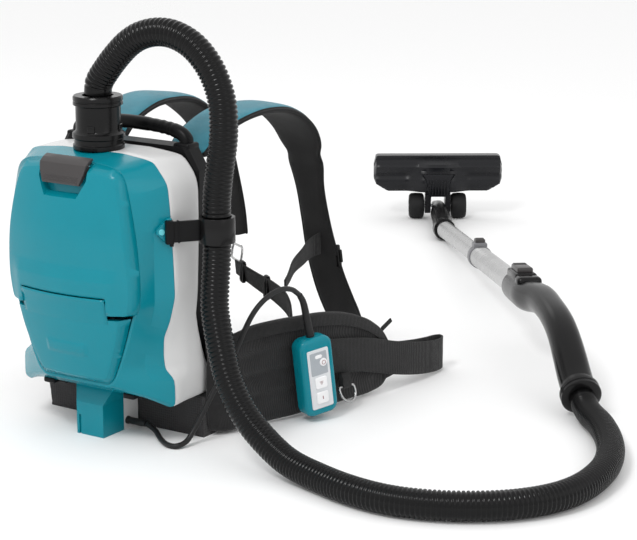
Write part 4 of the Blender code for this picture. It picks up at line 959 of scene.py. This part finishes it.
def strap_piece(name, stations, thickness, node):
    """A padded strap: coloured on its outer side above the slider, black inside, piped along both edges."""
    knots = [(*centre, half, deep / 2) for (centre, half), deep in zip(stations, thickness)]
    fine = catmull(knots, 7)
    centres = [Vector(knot[:3]) for knot in fine]
    count = len(fine)
    rings = []
    edges = ([], [])
    sleeve_from = count
    for index, knot in enumerate(fine):
        centre, half, deep = centres[index], knot[3], knot[4]
        along = (centres[min(index + 1, count - 1)] - centres[max(index - 1, 0)]).normalized()
        out = Vector((0.0, -along.z, along.y)).normalized()
        wide = along.cross(out)
        descending = centre.y > 0.27
        if descending:
            near = math.exp(-((centre.z - PINCH_Z) / 0.009) ** 2)
            half *= 1 - 0.17 * near
            deep *= 1 + 0.25 * near
            if centre.z < PINCH_Z:
                sleeve_from = min(sleeve_from, index)
        ring = []
        for a, b in STRAP_SECTION:
            spot = centre + wide * half * a + out * deep * b
            spot += out * crumple(spot + Vector((3, 1, 2)), 0.0022, 26.0) * (1 - abs(a) * 0.7)
            ring.append(spot)
        rings.append(ring)
        edges[0].append(centre + wide * half)
        edges[1].append(centre - wide * half)
    body = bmesh.new()
    verts = add_rings(body, rings)
    sides = len(STRAP_SECTION)
    for step in range(count - 1):
        for side in range(sides):
            after = (side + 1) % sides
            face = body.faces.new((verts[step][side], verts[step][after], verts[step + 1][after],
                                   verts[step + 1][side]))
            outer = 1 <= side <= 6
            face.material_index = 0 if outer and step < sleeve_from else 1
    cap(body, verts[0][::-1], 1)
    cap(body, verts[-1], 1)
    for edge in edges:
        loft_body(round_rings(edge, [PIPING_RADIUS] * count, 8), body=body, slot=2)
    obj = finish_mesh(name, body, ["teal_cloth", "black_cloth", "binding"], "pack", [node],
                      sharp=None, subdivide=1)


def wing_face(name, side):
    """A belt wing: a padded shell with sewn channels, a bound rim and crumpled cloth near the hose."""
    knots = [(*outer, *inner, low, high) for outer, inner, low, high in BELT_WING]
    fine = catmull(knots, 6)
    rows = 30
    rings = []
    rim = []
    for index, knot in enumerate(fine):
        outer, inner = Vector((knot[0], knot[1])), Vector((knot[2], knot[3]))
        low, high = max(0.0, knot[4]), knot[5]
        tall = high - low
        ring = []
        for row in range(rows):
            share = row / (rows - 1)
            z = low + 0.003 + (tall - 0.006) * share
            channel = 0.0
            for line in (0.30, 0.52, 0.74):
                channel += math.exp(-((share - line) / 0.022) ** 2)
            swell = math.sin(math.pi * share) ** 0.35
            fold = crumple(Vector((index * 0.16, z * 55, side * 4.0)), 0.0040, 1.0)
            calm = 0.35 + 0.65 * math.exp(-((index - 14) / 9.0) ** 2)
            depth = 0.80 + 0.20 * swell - 0.13 * min(1.0, channel) * smoothstep(0, 8, index)
            spot = inner.lerp(outer, depth)
            direction = (outer - inner).normalized()
            spot += direction * fold * calm
            ring.append(Vector((side * spot.x, spot.y, z)))
        for row in range(rows):
            share = 1 - row / (rows - 1)
            z = low + 0.003 + (tall - 0.006) * share
            spot = inner.lerp(outer, 0.04 + 0.10 * (1 - math.sin(math.pi * share) ** 0.3))
            ring.append(Vector((side * spot.x, spot.y, z)))
        rings.append(ring)
        top = inner.lerp(outer, 0.86)
        rim.append(Vector((side * top.x, top.y, high - 0.0035)))
    body = loft_body(rings)
    obj = finish_mesh(name, body, "belt_cloth", "pack", [name.replace("_pad", "")],
                      sharp=None,
                      subdivide=1)
    band = bmesh.new()
    strips = []
    for index, spot in enumerate(rim):
        knot = fine[index]
        out = (Vector((knot[0], knot[1])) - Vector((knot[2], knot[3]))).normalized()
        out = Vector((side * out.x, out.y, 0))
        wide = 0.0062
        strips.append([
            spot + out * 0.0026 - Vector((0, 0, wide * 2)),
            spot + out * 0.0046 - Vector((0, 0, wide * 1.9)),
            spot + out * 0.0050 + Vector((0, 0, 0.0008)), spot + out * 0.0026 + Vector((0, 0, 0.0036)),
            spot - out * 0.0040 + Vector((0, 0, 0.0040)), spot - out * 0.0040 + Vector((0, 0, 0.0020)),
        ])
    loft_body(strips, body=band)
    finish_mesh(name + "_binding", band, "webbing", "pack", sharp=60)


LUMBAR_HALF = 0.1178
LUMBAR_MIDDLE_Y = 0.066
LUMBAR_QUILT = 0.0012


def lumbar_piece():
    """The cushion behind the back plate, with faint quilting across it."""
    outline = [Vector(point) for point in catmull(LUMBAR, 3, closed=True)]
    body = bmesh.new()
    rings = []
    columns = 40
    for column in range(columns + 1):
        x = -LUMBAR_HALF + 2 * LUMBAR_HALF * column / columns
        ring = []
        for spot in outline:
            quilt = LUMBAR_QUILT * math.cos(x / 0.0295 * math.pi) * (1 if spot.y > 0.01 else 0)
            y = spot.x + (LUMBAR_QUILT + quilt) * (1 if spot.x > LUMBAR_MIDDLE_Y else -1) * 0.6
            y += crumple(Vector((x, spot.x, spot.y)), 0.0016, 40.0)
            z = max(0.0, spot.y + crumple(Vector((x + 4, spot.x, spot.y)), 0.0012, 40.0) * (spot.y > 0.01))
            ring.append(Vector((x, y, z)))
        rings.append(ring)
    loft_body(rings, body=body)
    obj = finish_mesh("lumbar_cushion", body, "mesh", "pack", ["lumbar_pad"], sharp=70)


def webbing_strip(name, route, half_height, half_thickness, node=None, spacing=0.006, waves=0.0, lean=None,
                  halves=None, body_name="pack"):
    """Webbing standing on edge along a route, with rounded selvedges."""
    path = spaced(catmull(route, 10), spacing)
    count = len(path)
    rings = []
    for index, spot in enumerate(path):
        along = (path[min(index + 1, count - 1)] - path[max(index - 1, 0)]).normalized()
        out = along.cross(Vector((0, 0, 1))).normalized()
        tall = out.cross(along).normalized()
        if lean:
            tall = (tall + out * lean).normalized()
            out = along.cross(tall).normalized()
        share = index / (count - 1)
        half = half_height if not halves else halves[0] + (halves[1] - halves[0]) * share
        wave = out * waves * math.sin(share * 13.0)
        section = [(1, 0), (0.97, 1), (0.5, 0.9), (0, 1), (-0.5, 0.9), (-0.97, 1), (-1, 0), (-0.97, -1),
                   (-0.5, -0.9), (0, -1), (0.5, -0.9), (0.97, -1)]
        rings.append([spot + wave + tall * half * a + out * half_thickness * b for a, b in section])
    body = loft_body(rings)
    return finish_mesh(name, body, "webbing", body_name, [node] if node else [], sharp=None)


def tri_glide(name, centre, along, tall, half_along, half_tall, stands_for=()):
    """A flat webbing adjuster: a rounded frame with a middle bar."""
    place = Matrix((
        (along.x, tall.x, along.cross(tall).x, centre[0]),
        (along.y, tall.y, along.cross(tall).y, centre[1]),
        (along.z, tall.z, along.cross(tall).z, centre[2]), (0, 0, 0, 1)
    ))
    body = bmesh.new()
    for side in (-1, 1):
        rounded_box(body, (-half_along, side * half_tall - 0.0016, -0.0022),
                    (half_along, side * half_tall + 0.0016, 0.0022), 0.0010, place)
        rounded_box(body, (side * half_along - 0.0016, -half_tall, -0.0022),
                    (side * half_along + 0.0016, half_tall, 0.0022), 0.0010, place)
    rounded_box(body, (-0.0016, -half_tall, -0.0026), (0.0016, half_tall, 0.0026), 0.0010, place)
    finish_mesh(name, body, "black", "pack", stands_for)


def closed_bar(name, path, radius, paint, ride_on, node):
    fine = [Vector(point) for point in catmull(path, 5, closed=True)]
    rings = []
    count = len(fine)
    normal = (fine[count // 3] - fine[0]).cross(fine[2 * count // 3] - fine[0]).normalized()
    for index, spot in enumerate(fine):
        along = (fine[(index + 1) % count] - fine[index - 1]).normalized()
        across = along.cross(normal).normalized()
        rings.append([
            spot + (normal * math.cos(angle) + across * math.sin(angle)) * radius
            for angle in (2 * math.pi * step / 12 for step in range(12))
        ])
    finish_mesh(name, loft_body(rings, closed_along=True), paint, ride_on, [node], sharp=None)


def ring_pieces():
    along = Vector((0.245, 0.9695, 0.0)).normalized()
    root = Vector((0.1985, 0.2250, 0.0285))
    place = frame_on(root, along)
    lean = Matrix.Rotation(math.radians(-25.0), 4, "Y")
    outline = [
        (-0.0105, 0.0), (-0.0050, 0.0), (0.0, 0.0), (0.0050, 0.0), (0.0105, 0.0), (0.0125, -0.0030),
        (0.0118, -0.0100), (0.0085, -0.0160), (0.0040, -0.0190), (0.0, -0.0197), (-0.0040, -0.0190),
        (-0.0085, -0.0160), (-0.0118, -0.0100), (-0.0125, -0.0030),
    ]
    closed_bar("d_ring_bar", [place @ lean @ Vector((0.0, y, z)) for y, z in outline], 0.0016, "chrome",
               "d_ring",
               "belt_d_ring")
    body = bmesh.new()
    rings = []
    for share in (-1.0, -0.94, 0.0, 0.94, 1.0):
        ring = []
        for x, z in ((0.0026, 0.0), (0.0020, 0.0110), (-0.0020, 0.0165), (-0.0062, 0.0140),
                     (-0.0062, 0.0010),
                     (-0.0046, -0.0030), (-0.0004, -0.0034)):
            ring.append(place @ Vector((x, 0.0070 * share, z)))
        rings.append(ring)
    loft_body(rings, body=body)
    finish_mesh("ring_tab_fold", body, "webbing", "pack", ["ring_tab"], sharp=50)
    ring = [
        (-0.0120, 0.0), (-0.0060, 0.0), (0.0060, 0.0), (0.0120, 0.0), (0.0150, -0.0060), (0.0150, -0.0120),
        (0.0120, -0.0180), (-0.0120, -0.0180), (-0.0150, -0.0120), (-0.0150, -0.0060),
    ]
    centre = Vector((-0.0100, 0.2905, 0.1680))
    across = Vector((0.86, -0.51, 0.0)).normalized()
    closed_bar("oval_ring_bar", [centre + across * x + Vector((0, 0.25 * z, z)) for x, z in ring], 0.0016,
               "chrome", "oval_ring", "strap_ring")


def harness_pieces():
    lumbar_piece()
    wing_face("belt_wing_right_pad", 1)
    wing_face("belt_wing_left_pad", -1)
    strap_piece("shoulder_pad_right", STRAP_NEAR, [0.012] * 6 + [0.010] * 2 + [0.008] * 5,
                "shoulder_strap_right")
    strap_piece("shoulder_pad_left", STRAP_FAR, [0.012] * 6 + [0.010] * 2 + [0.007] * 2,
                "shoulder_strap_left")
    webbing_strip("belt_loop_webbing", [
        (0.1840, 0.1975, 0.0710), (0.1930, 0.2310, 0.0660), (0.2005, 0.2630, 0.0600),
        (0.2060, 0.2880, 0.0530),
        (0.2110, 0.3150, 0.0450), (0.2160, 0.3500, 0.0360), (0.2190, 0.3850, 0.0290),
        (0.2195, 0.4150, 0.0250),
        (0.2165, 0.4330, 0.0240), (0.2095, 0.4410, 0.0240), (0.2030, 0.4330, 0.0240),
        (0.2010, 0.4150, 0.0250),
        (0.2010, 0.3850, 0.0290), (0.2010, 0.3500, 0.0350), (0.2012, 0.3240, 0.0400),
    ], 0.0215, 0.0012, "belt_loop", spacing=0.004)
    webbing_strip("lower_webbing_band", [
        (-0.004, 0.2770, 0.1430), (0.020, 0.2640, 0.1400), (0.055, 0.2440, 0.1370), (0.095, 0.2200, 0.1350),
        (0.130, 0.1960, 0.1300), (0.150, 0.1780, 0.1180), (0.158, 0.1650, 0.1000),
    ], 0.0125, 0.0010, "lower_webbing", halves=(0.0100, 0.0180), lean=0.15)
    webbing_strip("cross_webbing_band", [
        (0.097, 0.3265, 0.1780), (0.100, 0.2900, 0.1760), (0.109, 0.2560, 0.1710), (0.121, 0.2180, 0.1650),
        (0.135, 0.1850, 0.1580),
    ], 0.0100, 0.0010, "cross_webbing", halves=(0.0150, 0.0055), waves=0.0010)
    along = Vector((0.82, -0.57, -0.05)).normalized()
    tall = Vector((0.05, -0.01, 1.0))
    tall = (tall - along * tall.dot(along)).normalized()
    tri_glide("glide_inner", (0.0140, 0.2670, 0.1405), along, tall, 0.0055, 0.0125)
    tri_glide("glide_outer", (0.0760, 0.2310, 0.1360), along, tall, 0.0055, 0.0140)
    body = bmesh.new()
    place = frame_on(Vector((0.1180, 0.3300, 0.1620)), Vector((0.16, -0.05, -0.98)).normalized(),
                     Vector((0, -1, 0)))
    rounded_box(body, (-0.0045, -0.0150, -0.0035), (0.0045, 0.0150, 0.0035), 0.0020, place)
    rounded_box(body, (-0.0075, -0.0085, -0.0022), (0.0005, 0.0085, 0.0022), 0.0015, place)
    finish_mesh("side_buckle", body, "satin_black", "pack")
    ring_pieces()
    body = bmesh.new()
    place = frame_on(Vector((0.2030, 0.3010, 0.0840)), Vector((0.20, 0.85, 0.48)).normalized())
    rounded_box(body, (-0.0012, 0.0, -0.0030), (0.0012, 0.0200, 0.0030), 0.0010, place)
    place = frame_on(Vector((0.2040, 0.3100, 0.0230)), Vector((0.15, 0.98, 0.12)).normalized())
    rounded_box(body, (-0.0014, -0.0060, -0.0055), (0.0014, 0.0180, 0.0055), 0.0012, place)
    finish_mesh("belt_end_tabs", body, "webbing", "pack")


# ---------------------------------------------------------------- wand
WAND_SOCKET = Vector((0.2396, 0.5990, 0.0820))
WAND_END = Vector((-0.1470, 1.0840, 0.0200))
HANDLE_TAIL = Vector((0.4610, 0.3470, 0.0262))
OUTER_PIPE_LENGTH = 0.280
NOZZLE_AXLE = Vector((-0.2480, 1.2350, 0.0225))
NOZZLE_FORWARD = Vector((-0.5560, 0.8310, 0.0)).normalized()
GAP = 0.0003
WAND_AXIS = (WAND_END - WAND_SOCKET).normalized()


def handle_body_piece():
    plan = Vector((WAND_SOCKET.x - HANDLE_TAIL.x, WAND_SOCKET.y - HANDLE_TAIL.y)).normalized()
    spots = [
        (0.018, 0.0330, 0.0213), (0.035, 0.0430, 0.0213), (0.062, 0.0620, 0.0208), (0.090, 0.0790, 0.0200),
        (0.120, 0.0900, 0.0195), (0.160, 0.0960, 0.0190), (0.205, 0.0970, 0.0200),
    ]
    knots = [(HANDLE_TAIL.x + plan.x * s, HANDLE_TAIL.y + plan.y * s, z, radius) for s, z, radius in spots]
    for back, radius in ((0.085, 0.0220), (0.055, 0.0225), (0.028, 0.0222), (0.0, 0.0215)):
        knots.append((*(WAND_SOCKET - WAND_AXIS * back), radius))
    fine = catmull(knots, 8)
    path = [Vector(knot[:3]) for knot in fine]
    outer = []
    for (point, along, side, top), knot in zip(frames_along(path), fine):
        ring = []
        for step in range(28):
            angle = 2 * math.pi * step / 28
            flat = 1.0 - 0.10 * max(0.0, math.cos(angle)) ** 6
            ring.append(point + (top * math.cos(angle) * flat + side * math.sin(angle)) * knot[3])
        outer.append(ring)
    body = loft_body(outer)
    place = frame_on(WAND_SOCKET, WAND_AXIS)
    rounded_box(body, (-0.0150, -0.0660, 0.0120), (0.0150, -0.0030, 0.0262), 0.0040, place)
    rounded_box(body, (-0.0170, -0.0900, 0.0100), (0.0170, -0.0640, 0.0245), 0.0060, place)
    tail = Vector((HANDLE_TAIL.x + plan.x * 0.018, HANDLE_TAIL.y + plan.y * 0.018, 0.0330))
    direction = Vector((plan.x, plan.y, 0.45)).normalized()
    start = Vector(HANDLE_TAIL) - direction * 0.0005
    profile = [(0.0172, 0.0), (0.0235, 0.0008), (0.0252, 0.0025), (0.0252, 0.0062), (0.0240, 0.0070),
               (0.0240, 0.0082), (0.0252, 0.0090), (0.0252, 0.0128), (0.0222, 0.0142), (0.0215, 0.0220),
               (0.0160, 0.0225)]
    turned_body(start, tail - start, profile, sides=40, body=body)
    finish_mesh("grip_handle", body, "satin_black", "pack", ["handle_body"], sharp=42)
    body = bmesh.new()
    made = frame_on(WAND_SOCKET, WAND_AXIS)
    rounded_box(body, (-0.0108, -0.0590, 0.0245), (0.0108, -0.0118, 0.0330), 0.0030, made)
    for step in range(4):
        low = -0.0260 + step * 0.0034
        rounded_box(body, (-0.0085, low, 0.0322), (0.0085, low + 0.0014, 0.0337), 0.0005, made, segments=1)
    finish_mesh("handle_button", body, "latch", "handle_lever", ["handle_lock"])


def pipe_pieces():
    start = WAND_SOCKET + WAND_AXIS * GAP
    length = OUTER_PIPE_LENGTH
    profile = [(0.0146, 0.0), (0.0160, 0.0), (0.0160, length - 0.0060), (0.0166, length - 0.0050),
               (0.0166, length - 0.0006), (0.0160, length), (0.0146, length)]
    body = turned_body(start, WAND_AXIS, profile, sides=48, closed=True)
    finish_mesh("upper_tube", body, "chrome", "pack", ["outer_pipe"], sharp=40)
    base = start + WAND_AXIS * (length + GAP)
    profile = [(0.0145, 0.0), (0.0172, 0.0), (0.0178, 0.0008), (0.0178, 0.0190), (0.0166, 0.0222),
               (0.0158, 0.0238), (0.0145, 0.0240)]
    body = turned_body(base, WAND_AXIS, profile, sides=48, closed=True)
    place = frame_on(base, WAND_AXIS)
    rounded_box(body, (-0.0105, 0.0010, 0.0130), (0.0105, 0.0230, 0.0220), 0.0030, place)
    finish_mesh("tube_collar", body, "collar_grey", "pack", ["pipe_collar"], sharp=40)
    body = bmesh.new()
    rounded_box(body, (-0.0076, 0.0034, 0.0200), (0.0076, 0.0206, 0.0275), 0.0024, place)
    for step in range(3):
        low = 0.0070 + step * 0.0034
        rounded_box(body, (-0.0060, low, 0.0268), (0.0060, low + 0.0014, 0.0282), 0.0004, place, segments=1)
    finish_mesh("tube_button", body, "latch", "pipe_lever", ["pipe_lock"])
    inner_start = length - 0.070
    total = (WAND_END - WAND_SOCKET).length - inner_start
    profile = [(0.0126, 0.0), (0.0140, 0.0), (0.0140, total - 0.012), (0.0144, total - 0.011),
               (0.0144, total - 0.0075), (0.0140, total - 0.0065), (0.0140, total), (0.0126, total)]
    body = turned_body(WAND_SOCKET + WAND_AXIS * inner_start, WAND_AXIS, profile, sides=48, closed=True)
    finish_mesh("lower_tube", body, "chrome", "lower_wand", ["inner_pipe"], sharp=40)


NECK_SIDES = 28


def neck_piece():
    """The neck runs from the wand's end to the hub on the floor head's axle."""
    place = frame_on(NOZZLE_AXLE, NOZZLE_FORWARD)
    start = WAND_END + WAND_AXIS * GAP
    hub = place @ Vector((0, -0.022, -0.0005))
    knots = [
        (*(start + WAND_AXIS * 0.001), 0.0182, 0.0182), (*(start + WAND_AXIS * 0.018), 0.0182, 0.0182),
        (*(start + WAND_AXIS * 0.022), 0.0168, 0.0168), (*start.lerp(hub, 0.45), 0.0166, 0.0166),
        (*start.lerp(hub, 0.75), 0.0160, 0.0160), (*hub, 0.0112, 0.0142),
        (*(place @ Vector((0, -0.008, 0))), 0.0106, 0.0110),
        (*(place @ Vector((0, 0.0080, 0.0))), 0.0100, 0.0065),
    ]
    fine = catmull(knots, 6)
    path = [Vector(knot[:3]) for knot in fine]
    rings = []
    for (point, along, side, top), knot in zip(frames_along(path), fine):
        rings.append([
            point + side * math.sin(2 * math.pi * step / NECK_SIDES) * knot[3]
            + top * math.cos(2 * math.pi * step / NECK_SIDES) * knot[4]
            for step in range(NECK_SIDES)
        ])
    body = loft_body(rings)
    finish_mesh("swivel_neck", body, "satin_black", "lower_wand", ["nozzle_neck"],
                sharp=45)


HEAD_HALF = 0.1125


def head_piece():
    """The floor head stands on its long edge; its back carries a waisted duct down to the wheels."""
    place = frame_on(NOZZLE_AXLE, NOZZLE_FORWARD)
    columns = 60
    rings = []
    for column in range(columns + 1):
        x = -HEAD_HALF + 2 * HEAD_HALF * column / columns
        distance = HEAD_HALF - abs(x)
        end = 1 - 0.5 * math.exp(-distance / 0.0016)
        low = 0.0262 + 0.0135 * (1 - smoothstep(0.0, 0.030, distance))
        bulge = 0.0052 * math.exp(-((abs(x)) / 0.030) ** 4)
        blend = 1.0 - smoothstep(0.022, 0.058, abs(x))
        back = [
            (-0.0042, 0.0905), (-0.0060, 0.0890), (-0.0052, 0.0845), (-0.0080, 0.0820),
            (-0.0150 - bulge, 0.0770), (-0.0168 - bulge, 0.0715), (-0.0140 - bulge, 0.0650),
            (-0.0082 - 0.0120 * blend, 0.0590), (-0.0070 - 0.0140 * blend, 0.0555),
            (-0.0100 - 0.0130 * blend, 0.0510), (-0.0116 - 0.0130 * blend, 0.0460),
            (-0.0104 - 0.0140 * blend, 0.0390), (-0.0078 - 0.0150 * blend, 0.0330),
            (-0.0040 - 0.0150 * blend, 0.0272),
        ]
        front = [(0.0170, 0.0264), (0.0212, 0.0300), (0.0212, 0.0870), (0.0180, 0.0902)]
        ring = []
        for y, z in back + front:
            z = max(z, low + (z - 0.0262) * 0.05)
            ring.append(place @ Vector((x, 0.0050 + (y - 0.0050) * end, 0.0582 + (z - 0.0582) * end)))
        rings.append(ring)
    body = loft_body(rings)
    throat = []
    for z, half, near, far in (
        (0.0600, 0.0300, -0.0250, 0.0000), (0.0500, 0.0250, -0.0262, 0.0000),
        (0.0400, 0.0226, -0.0265, 0.0000),
        (0.0300, 0.0216, -0.0250, 0.0020), (0.0200, 0.0212, -0.0225, 0.0040),
    ):
        throat.append([place @ Vector((x, y, z)) for x, y in (
            (-half, far), (-half, near + 0.006), (-half + 0.004, near), (half - 0.004, near),
            (half, near + 0.006), (half, far))])
    loft_body(throat, body=body)
    for side in (-1, 1):
        ear = []
        for x in (0.0124, 0.0222):
            ear.append([place @ Vector((side * x, y, z)) for y, z in (
                (-0.0130, -0.0040), (-0.0150, 0.0080), (-0.0225, 0.0190), (-0.0225, 0.0230),
                (0.0040, 0.0230),
                (0.0125, 0.0060), (0.0125, -0.0060), (0.0060, -0.0125), (-0.0060, -0.0125))])
        loft_body(ear, body=body)
    for step in range(7):
        x = -0.0150 + step * 0.0050
        rounded_box(body, (x - 0.0009, -0.0278, 0.0240), (x + 0.0009, -0.0250, 0.0510), 0.0006, place,
                    segments=2)
    for side in (-1, 1):
        rounded_box(body, (side * 0.060 - 0.040, 0.0206, 0.0330), (side * 0.060 + 0.040, 0.0222, 0.0350),
                    0.0004, place)
    finish_mesh("floor_head_shell", body, "nozzle_black", "floor_head", ["nozzle_head"],
                sharp=38)


def wheel_pieces():
    place = frame_on(NOZZLE_AXLE, NOZZLE_FORWARD)
    axis = place.to_3x3() @ Vector((1, 0, 0))
    profile = [
        (0.0034, 0.0), (0.0175, 0.0), (0.0205, 0.0012), (0.0220, 0.0040), (0.0225, 0.0100),
        (0.0225, 0.0160),
        (0.0220, 0.0215), (0.0205, 0.0246), (0.0180, 0.0260), (0.0150, 0.0258), (0.0140, 0.0242),
        (0.0060, 0.0242), (0.0050, 0.0256), (0.0034, 0.0258),
    ]
    for side, name in ((-1, "left"), (1, "right")):
        inner = place @ Vector((side * 0.0240, 0, 0))
        body = turned_body(inner, axis * side, profile, sides=56, closed=True)
        for step in range(5):
            turn = Matrix.Rotation(2 * math.pi * step / 5, 4, "X")
            rounded_box(body, (side * 0.0655 - 0.0012 - 0.0165 * side, -0.0010, 0.0050),
                        (side * 0.0655 + 0.0002 - 0.0165 * side, 0.0010, 0.0145), 0.0004, place @ turn,
                        segments=1)
        finish_mesh(f"castor_{name}", body, "tyre", f"wheel_{name}", [f"nozzle_wheel_{name}"],
                    sharp=40)


# ---------------------------------------------------------------- remote control
REMOTE_CENTRE = Vector((0.1915, 0.1640, 0.0580))
REMOTE_HALF = Vector((0.023, 0.012, 0.049))
REMOTE_TURN = math.radians(24.0)
REMOTE_ROLL = math.radians(7.0)


def remote_frame():
    place = Matrix.Translation(REMOTE_CENTRE) @ Matrix.Rotation(math.pi / 2 - REMOTE_TURN, 4, "Z")
    place = place @ Matrix.Scale(-1, 4, Vector((0, 1, 0)))
    return place @ Matrix.Rotation(-REMOTE_ROLL, 4, "Y")


def rounded_ring(place, half_x, half_z, corner, y, steps=7):
    ring = []
    for turn in range(4):
        centre_x = (half_x - corner) * (1, -1, -1, 1)[turn]
        centre_z = (half_z - corner) * (1, 1, -1, -1)[turn]
        for step in range(steps):
            angle = math.pi / 2 * (turn + step / (steps - 1))
            ring.append(place @ Vector((
                centre_x + corner * math.cos(angle), y, centre_z + corner * math.sin(angle)
            )))
    return ring


def plate_piece(body, place, centre_z, half_x, half_z, corner, low, high, edge=0.0004, slot=0,
                centre_x=0.0):
    shift = place @ Matrix.Translation((centre_x, 0, centre_z))
    rings = [rounded_ring(shift, half_x, half_z, corner, low),
             rounded_ring(shift, half_x, half_z, corner, high - edge),
             rounded_ring(shift, half_x - edge, half_z - edge, max(0.0003, corner - edge), high)]
    loft_body(rings, body=body, slot=slot)


def remote_pieces():
    place = remote_frame()
    depth = REMOTE_HALF.y
    for name, node, sign in (("remote_face", "remote_front", 1), ("remote_rear", "remote_back", -1)):
        rings = []
        for angle in (0, 0, 18, 36, 54, 72, 90):
            turn = math.radians(angle)
            shrink = 0.0052 * (1 - math.cos(turn))
            y = sign * (depth - 0.0052 * (1 - math.sin(turn)))
            if len(rings) == 0:
                y = sign * 0.0003
            rings.append(rounded_ring(place, REMOTE_HALF.x - shrink, REMOTE_HALF.z - shrink,
                                      0.0115 - shrink * 0.8, y))
        finish_mesh(name, loft_body(rings), "teal", "pack", [node], sharp=50)
    body = bmesh.new()
    plate_piece(body, place, -0.0020, 0.0150, 0.0375, 0.0022, depth - 0.0004, depth + 0.0010, slot=0)
    plate_piece(body, place, 0.0175, 0.0118, 0.0145, 0.0014, depth + 0.0004, depth + 0.0015, slot=1)
    plate_piece(body, place, 0.0262, 0.0050, 0.0022, 0.0021, depth + 0.0010, depth + 0.0020, slot=2,
                centre_x=0.0)
    finish_mesh("keypad_plate", body, ["pale_grey", "grey", "key_white"], "pack", ["remote_keypad"])
    for name, z, node, mark in (("button_low", -0.0260, "remote_button_low", 0),
                                ("button_high", -0.0070, "remote_button_high", 1)):
        body = bmesh.new()
        plate_piece(body, place, z, 0.0082, 0.0072, 0.0024, depth - 0.0018, depth + 0.0026, 0.0007)
        if mark:
            for step in range(3):
                plate_piece(body, place, z - 0.0016 + step * 0.0016, 0.0012 + 0.0008 * step, 0.0003, 0.0003,
                            depth + 0.0023, depth + 0.0028, 0.0001, slot=1)
        else:
            plate_piece(body, place, z, 0.0006, 0.0022, 0.0005, depth + 0.0020, depth + 0.0028, 0.0001,
                        slot=1)
        finish_mesh(f"key_{name}", body, ["key_white", "print"], name, [node])
    body = bmesh.new()
    axis = place.to_3x3() @ Vector((0, 1, 0))
    spot = place @ Vector((0.0060, depth - 0.0020, 0.0180))
    turned_body(spot, axis, [(0.0050, 0.0), (0.0050, 0.0040), (0.0046, 0.0046), (0.0030, 0.0047)], 32,
                body=body)
    ring = [(0.0022, 0.0046), (0.0028, 0.0046), (0.0028, 0.0050), (0.0022, 0.0050)]
    turned_body(spot, axis, ring, 24, closed=True, body=body, slot=1)
    finish_mesh("key_button_power", body, ["key_white", "print"], "button_power", ["remote_button_power"],
                sharp=40)
    top = place @ Vector((0.0, 0.0, REMOTE_HALF.z + GAP))
    bend = Vector((0.1862, 0.1480, 0.1500))
    path = catmull([Vector(CABLE_ROUTE[-1]) + Vector((0.0001, 0.0010, -0.0008)), bend, top.lerp(bend, 0.5),
                    top], 8)
    radii = [0.0036 + 0.0016 * index / (len(path) - 1) for index in range(len(path))]
    body = loft_body(round_rings(path, radii, 20, up=Vector((1, 0, 0))))
    finish_mesh("remote_gland", body, "rubber", "pack", ["remote_strain_relief"], sharp=50)


def wand_pieces():
    handle_body_piece()
    pipe_pieces()
    neck_piece()
    head_piece()
    wheel_pieces()


# ---------------------------------------------------------------- build
NODE_PAINTS = {
    "teal": ["front_cover", "lower_front_panel", "front_housing", "divider_front", "hose_bracket",
             "remote_front",
             "remote_back"],
    "white": ["rear_housing", "divider_rear"],
    "black": ["back_plate", "battery_terminal_left", "battery_terminal_right", "inlet_pipe", "carry_handle",
              "clamp_arm", "clamp_ring", "impeller", "handle_body", "handle_lock", "pipe_collar",
              "pipe_lock",
              "nozzle_neck", "nozzle_head", "remote_clip"],
    "latch": ["latch"],
    "rubber": ["cover_seal", "pack_strain_relief", "remote_strain_relief", "nozzle_brush"],
    "tyre": ["nozzle_wheel_left", "nozzle_wheel_right"],
    "steel": ["latch_pin", "motor_can", "motor_shaft", "nozzle_axle", "belt_d_ring", "strap_ring"],
    "chrome": ["outer_pipe", "inner_pipe"],
    "paper": ["dust_bag", "hepa_filter"],
    "grey": ["remote_keypad"],
    "key_white": ["remote_button_low", "remote_button_high", "remote_button_power"],
    "board": ["remote_board"],
    "belt_cloth": ["lumbar_pad", "belt_wing_right", "belt_wing_left"],
    "webbing": ["belt_loop", "ring_tab", "lower_webbing", "cross_webbing"],
    "teal_cloth": ["shoulder_strap_right", "shoulder_strap_left"],
}


HINGE_ROD_HALF = 0.068
HINGE_ROD_RADIUS = 0.0011


def hinge_rod():
    """The cover's pin, with both ends inside the cover's corners."""
    low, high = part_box("hinge_pin")
    centre = (Vector(low) + Vector(high)) / 2
    start = centre - Vector((HINGE_ROD_HALF, 0, 0))
    body = turned_body(start, (1, 0, 0), [(HINGE_ROD_RADIUS, 0.0), (HINGE_ROD_RADIUS, 2 * HINGE_ROD_HALF)],
                       16)
    finish_mesh("hinge_rod", body, "black", "pack", ["hinge_pin"])


def build():
    camera()
    studio()
    suction_hose()
    remote_cable()
    pack_pieces()
    harness_pieces()
    wand_pieces()
    remote_pieces()
    hinge_rod()
    for paint, names in NODE_PAINTS.items():
        for name in names:
            repaint(name, paint)


build()
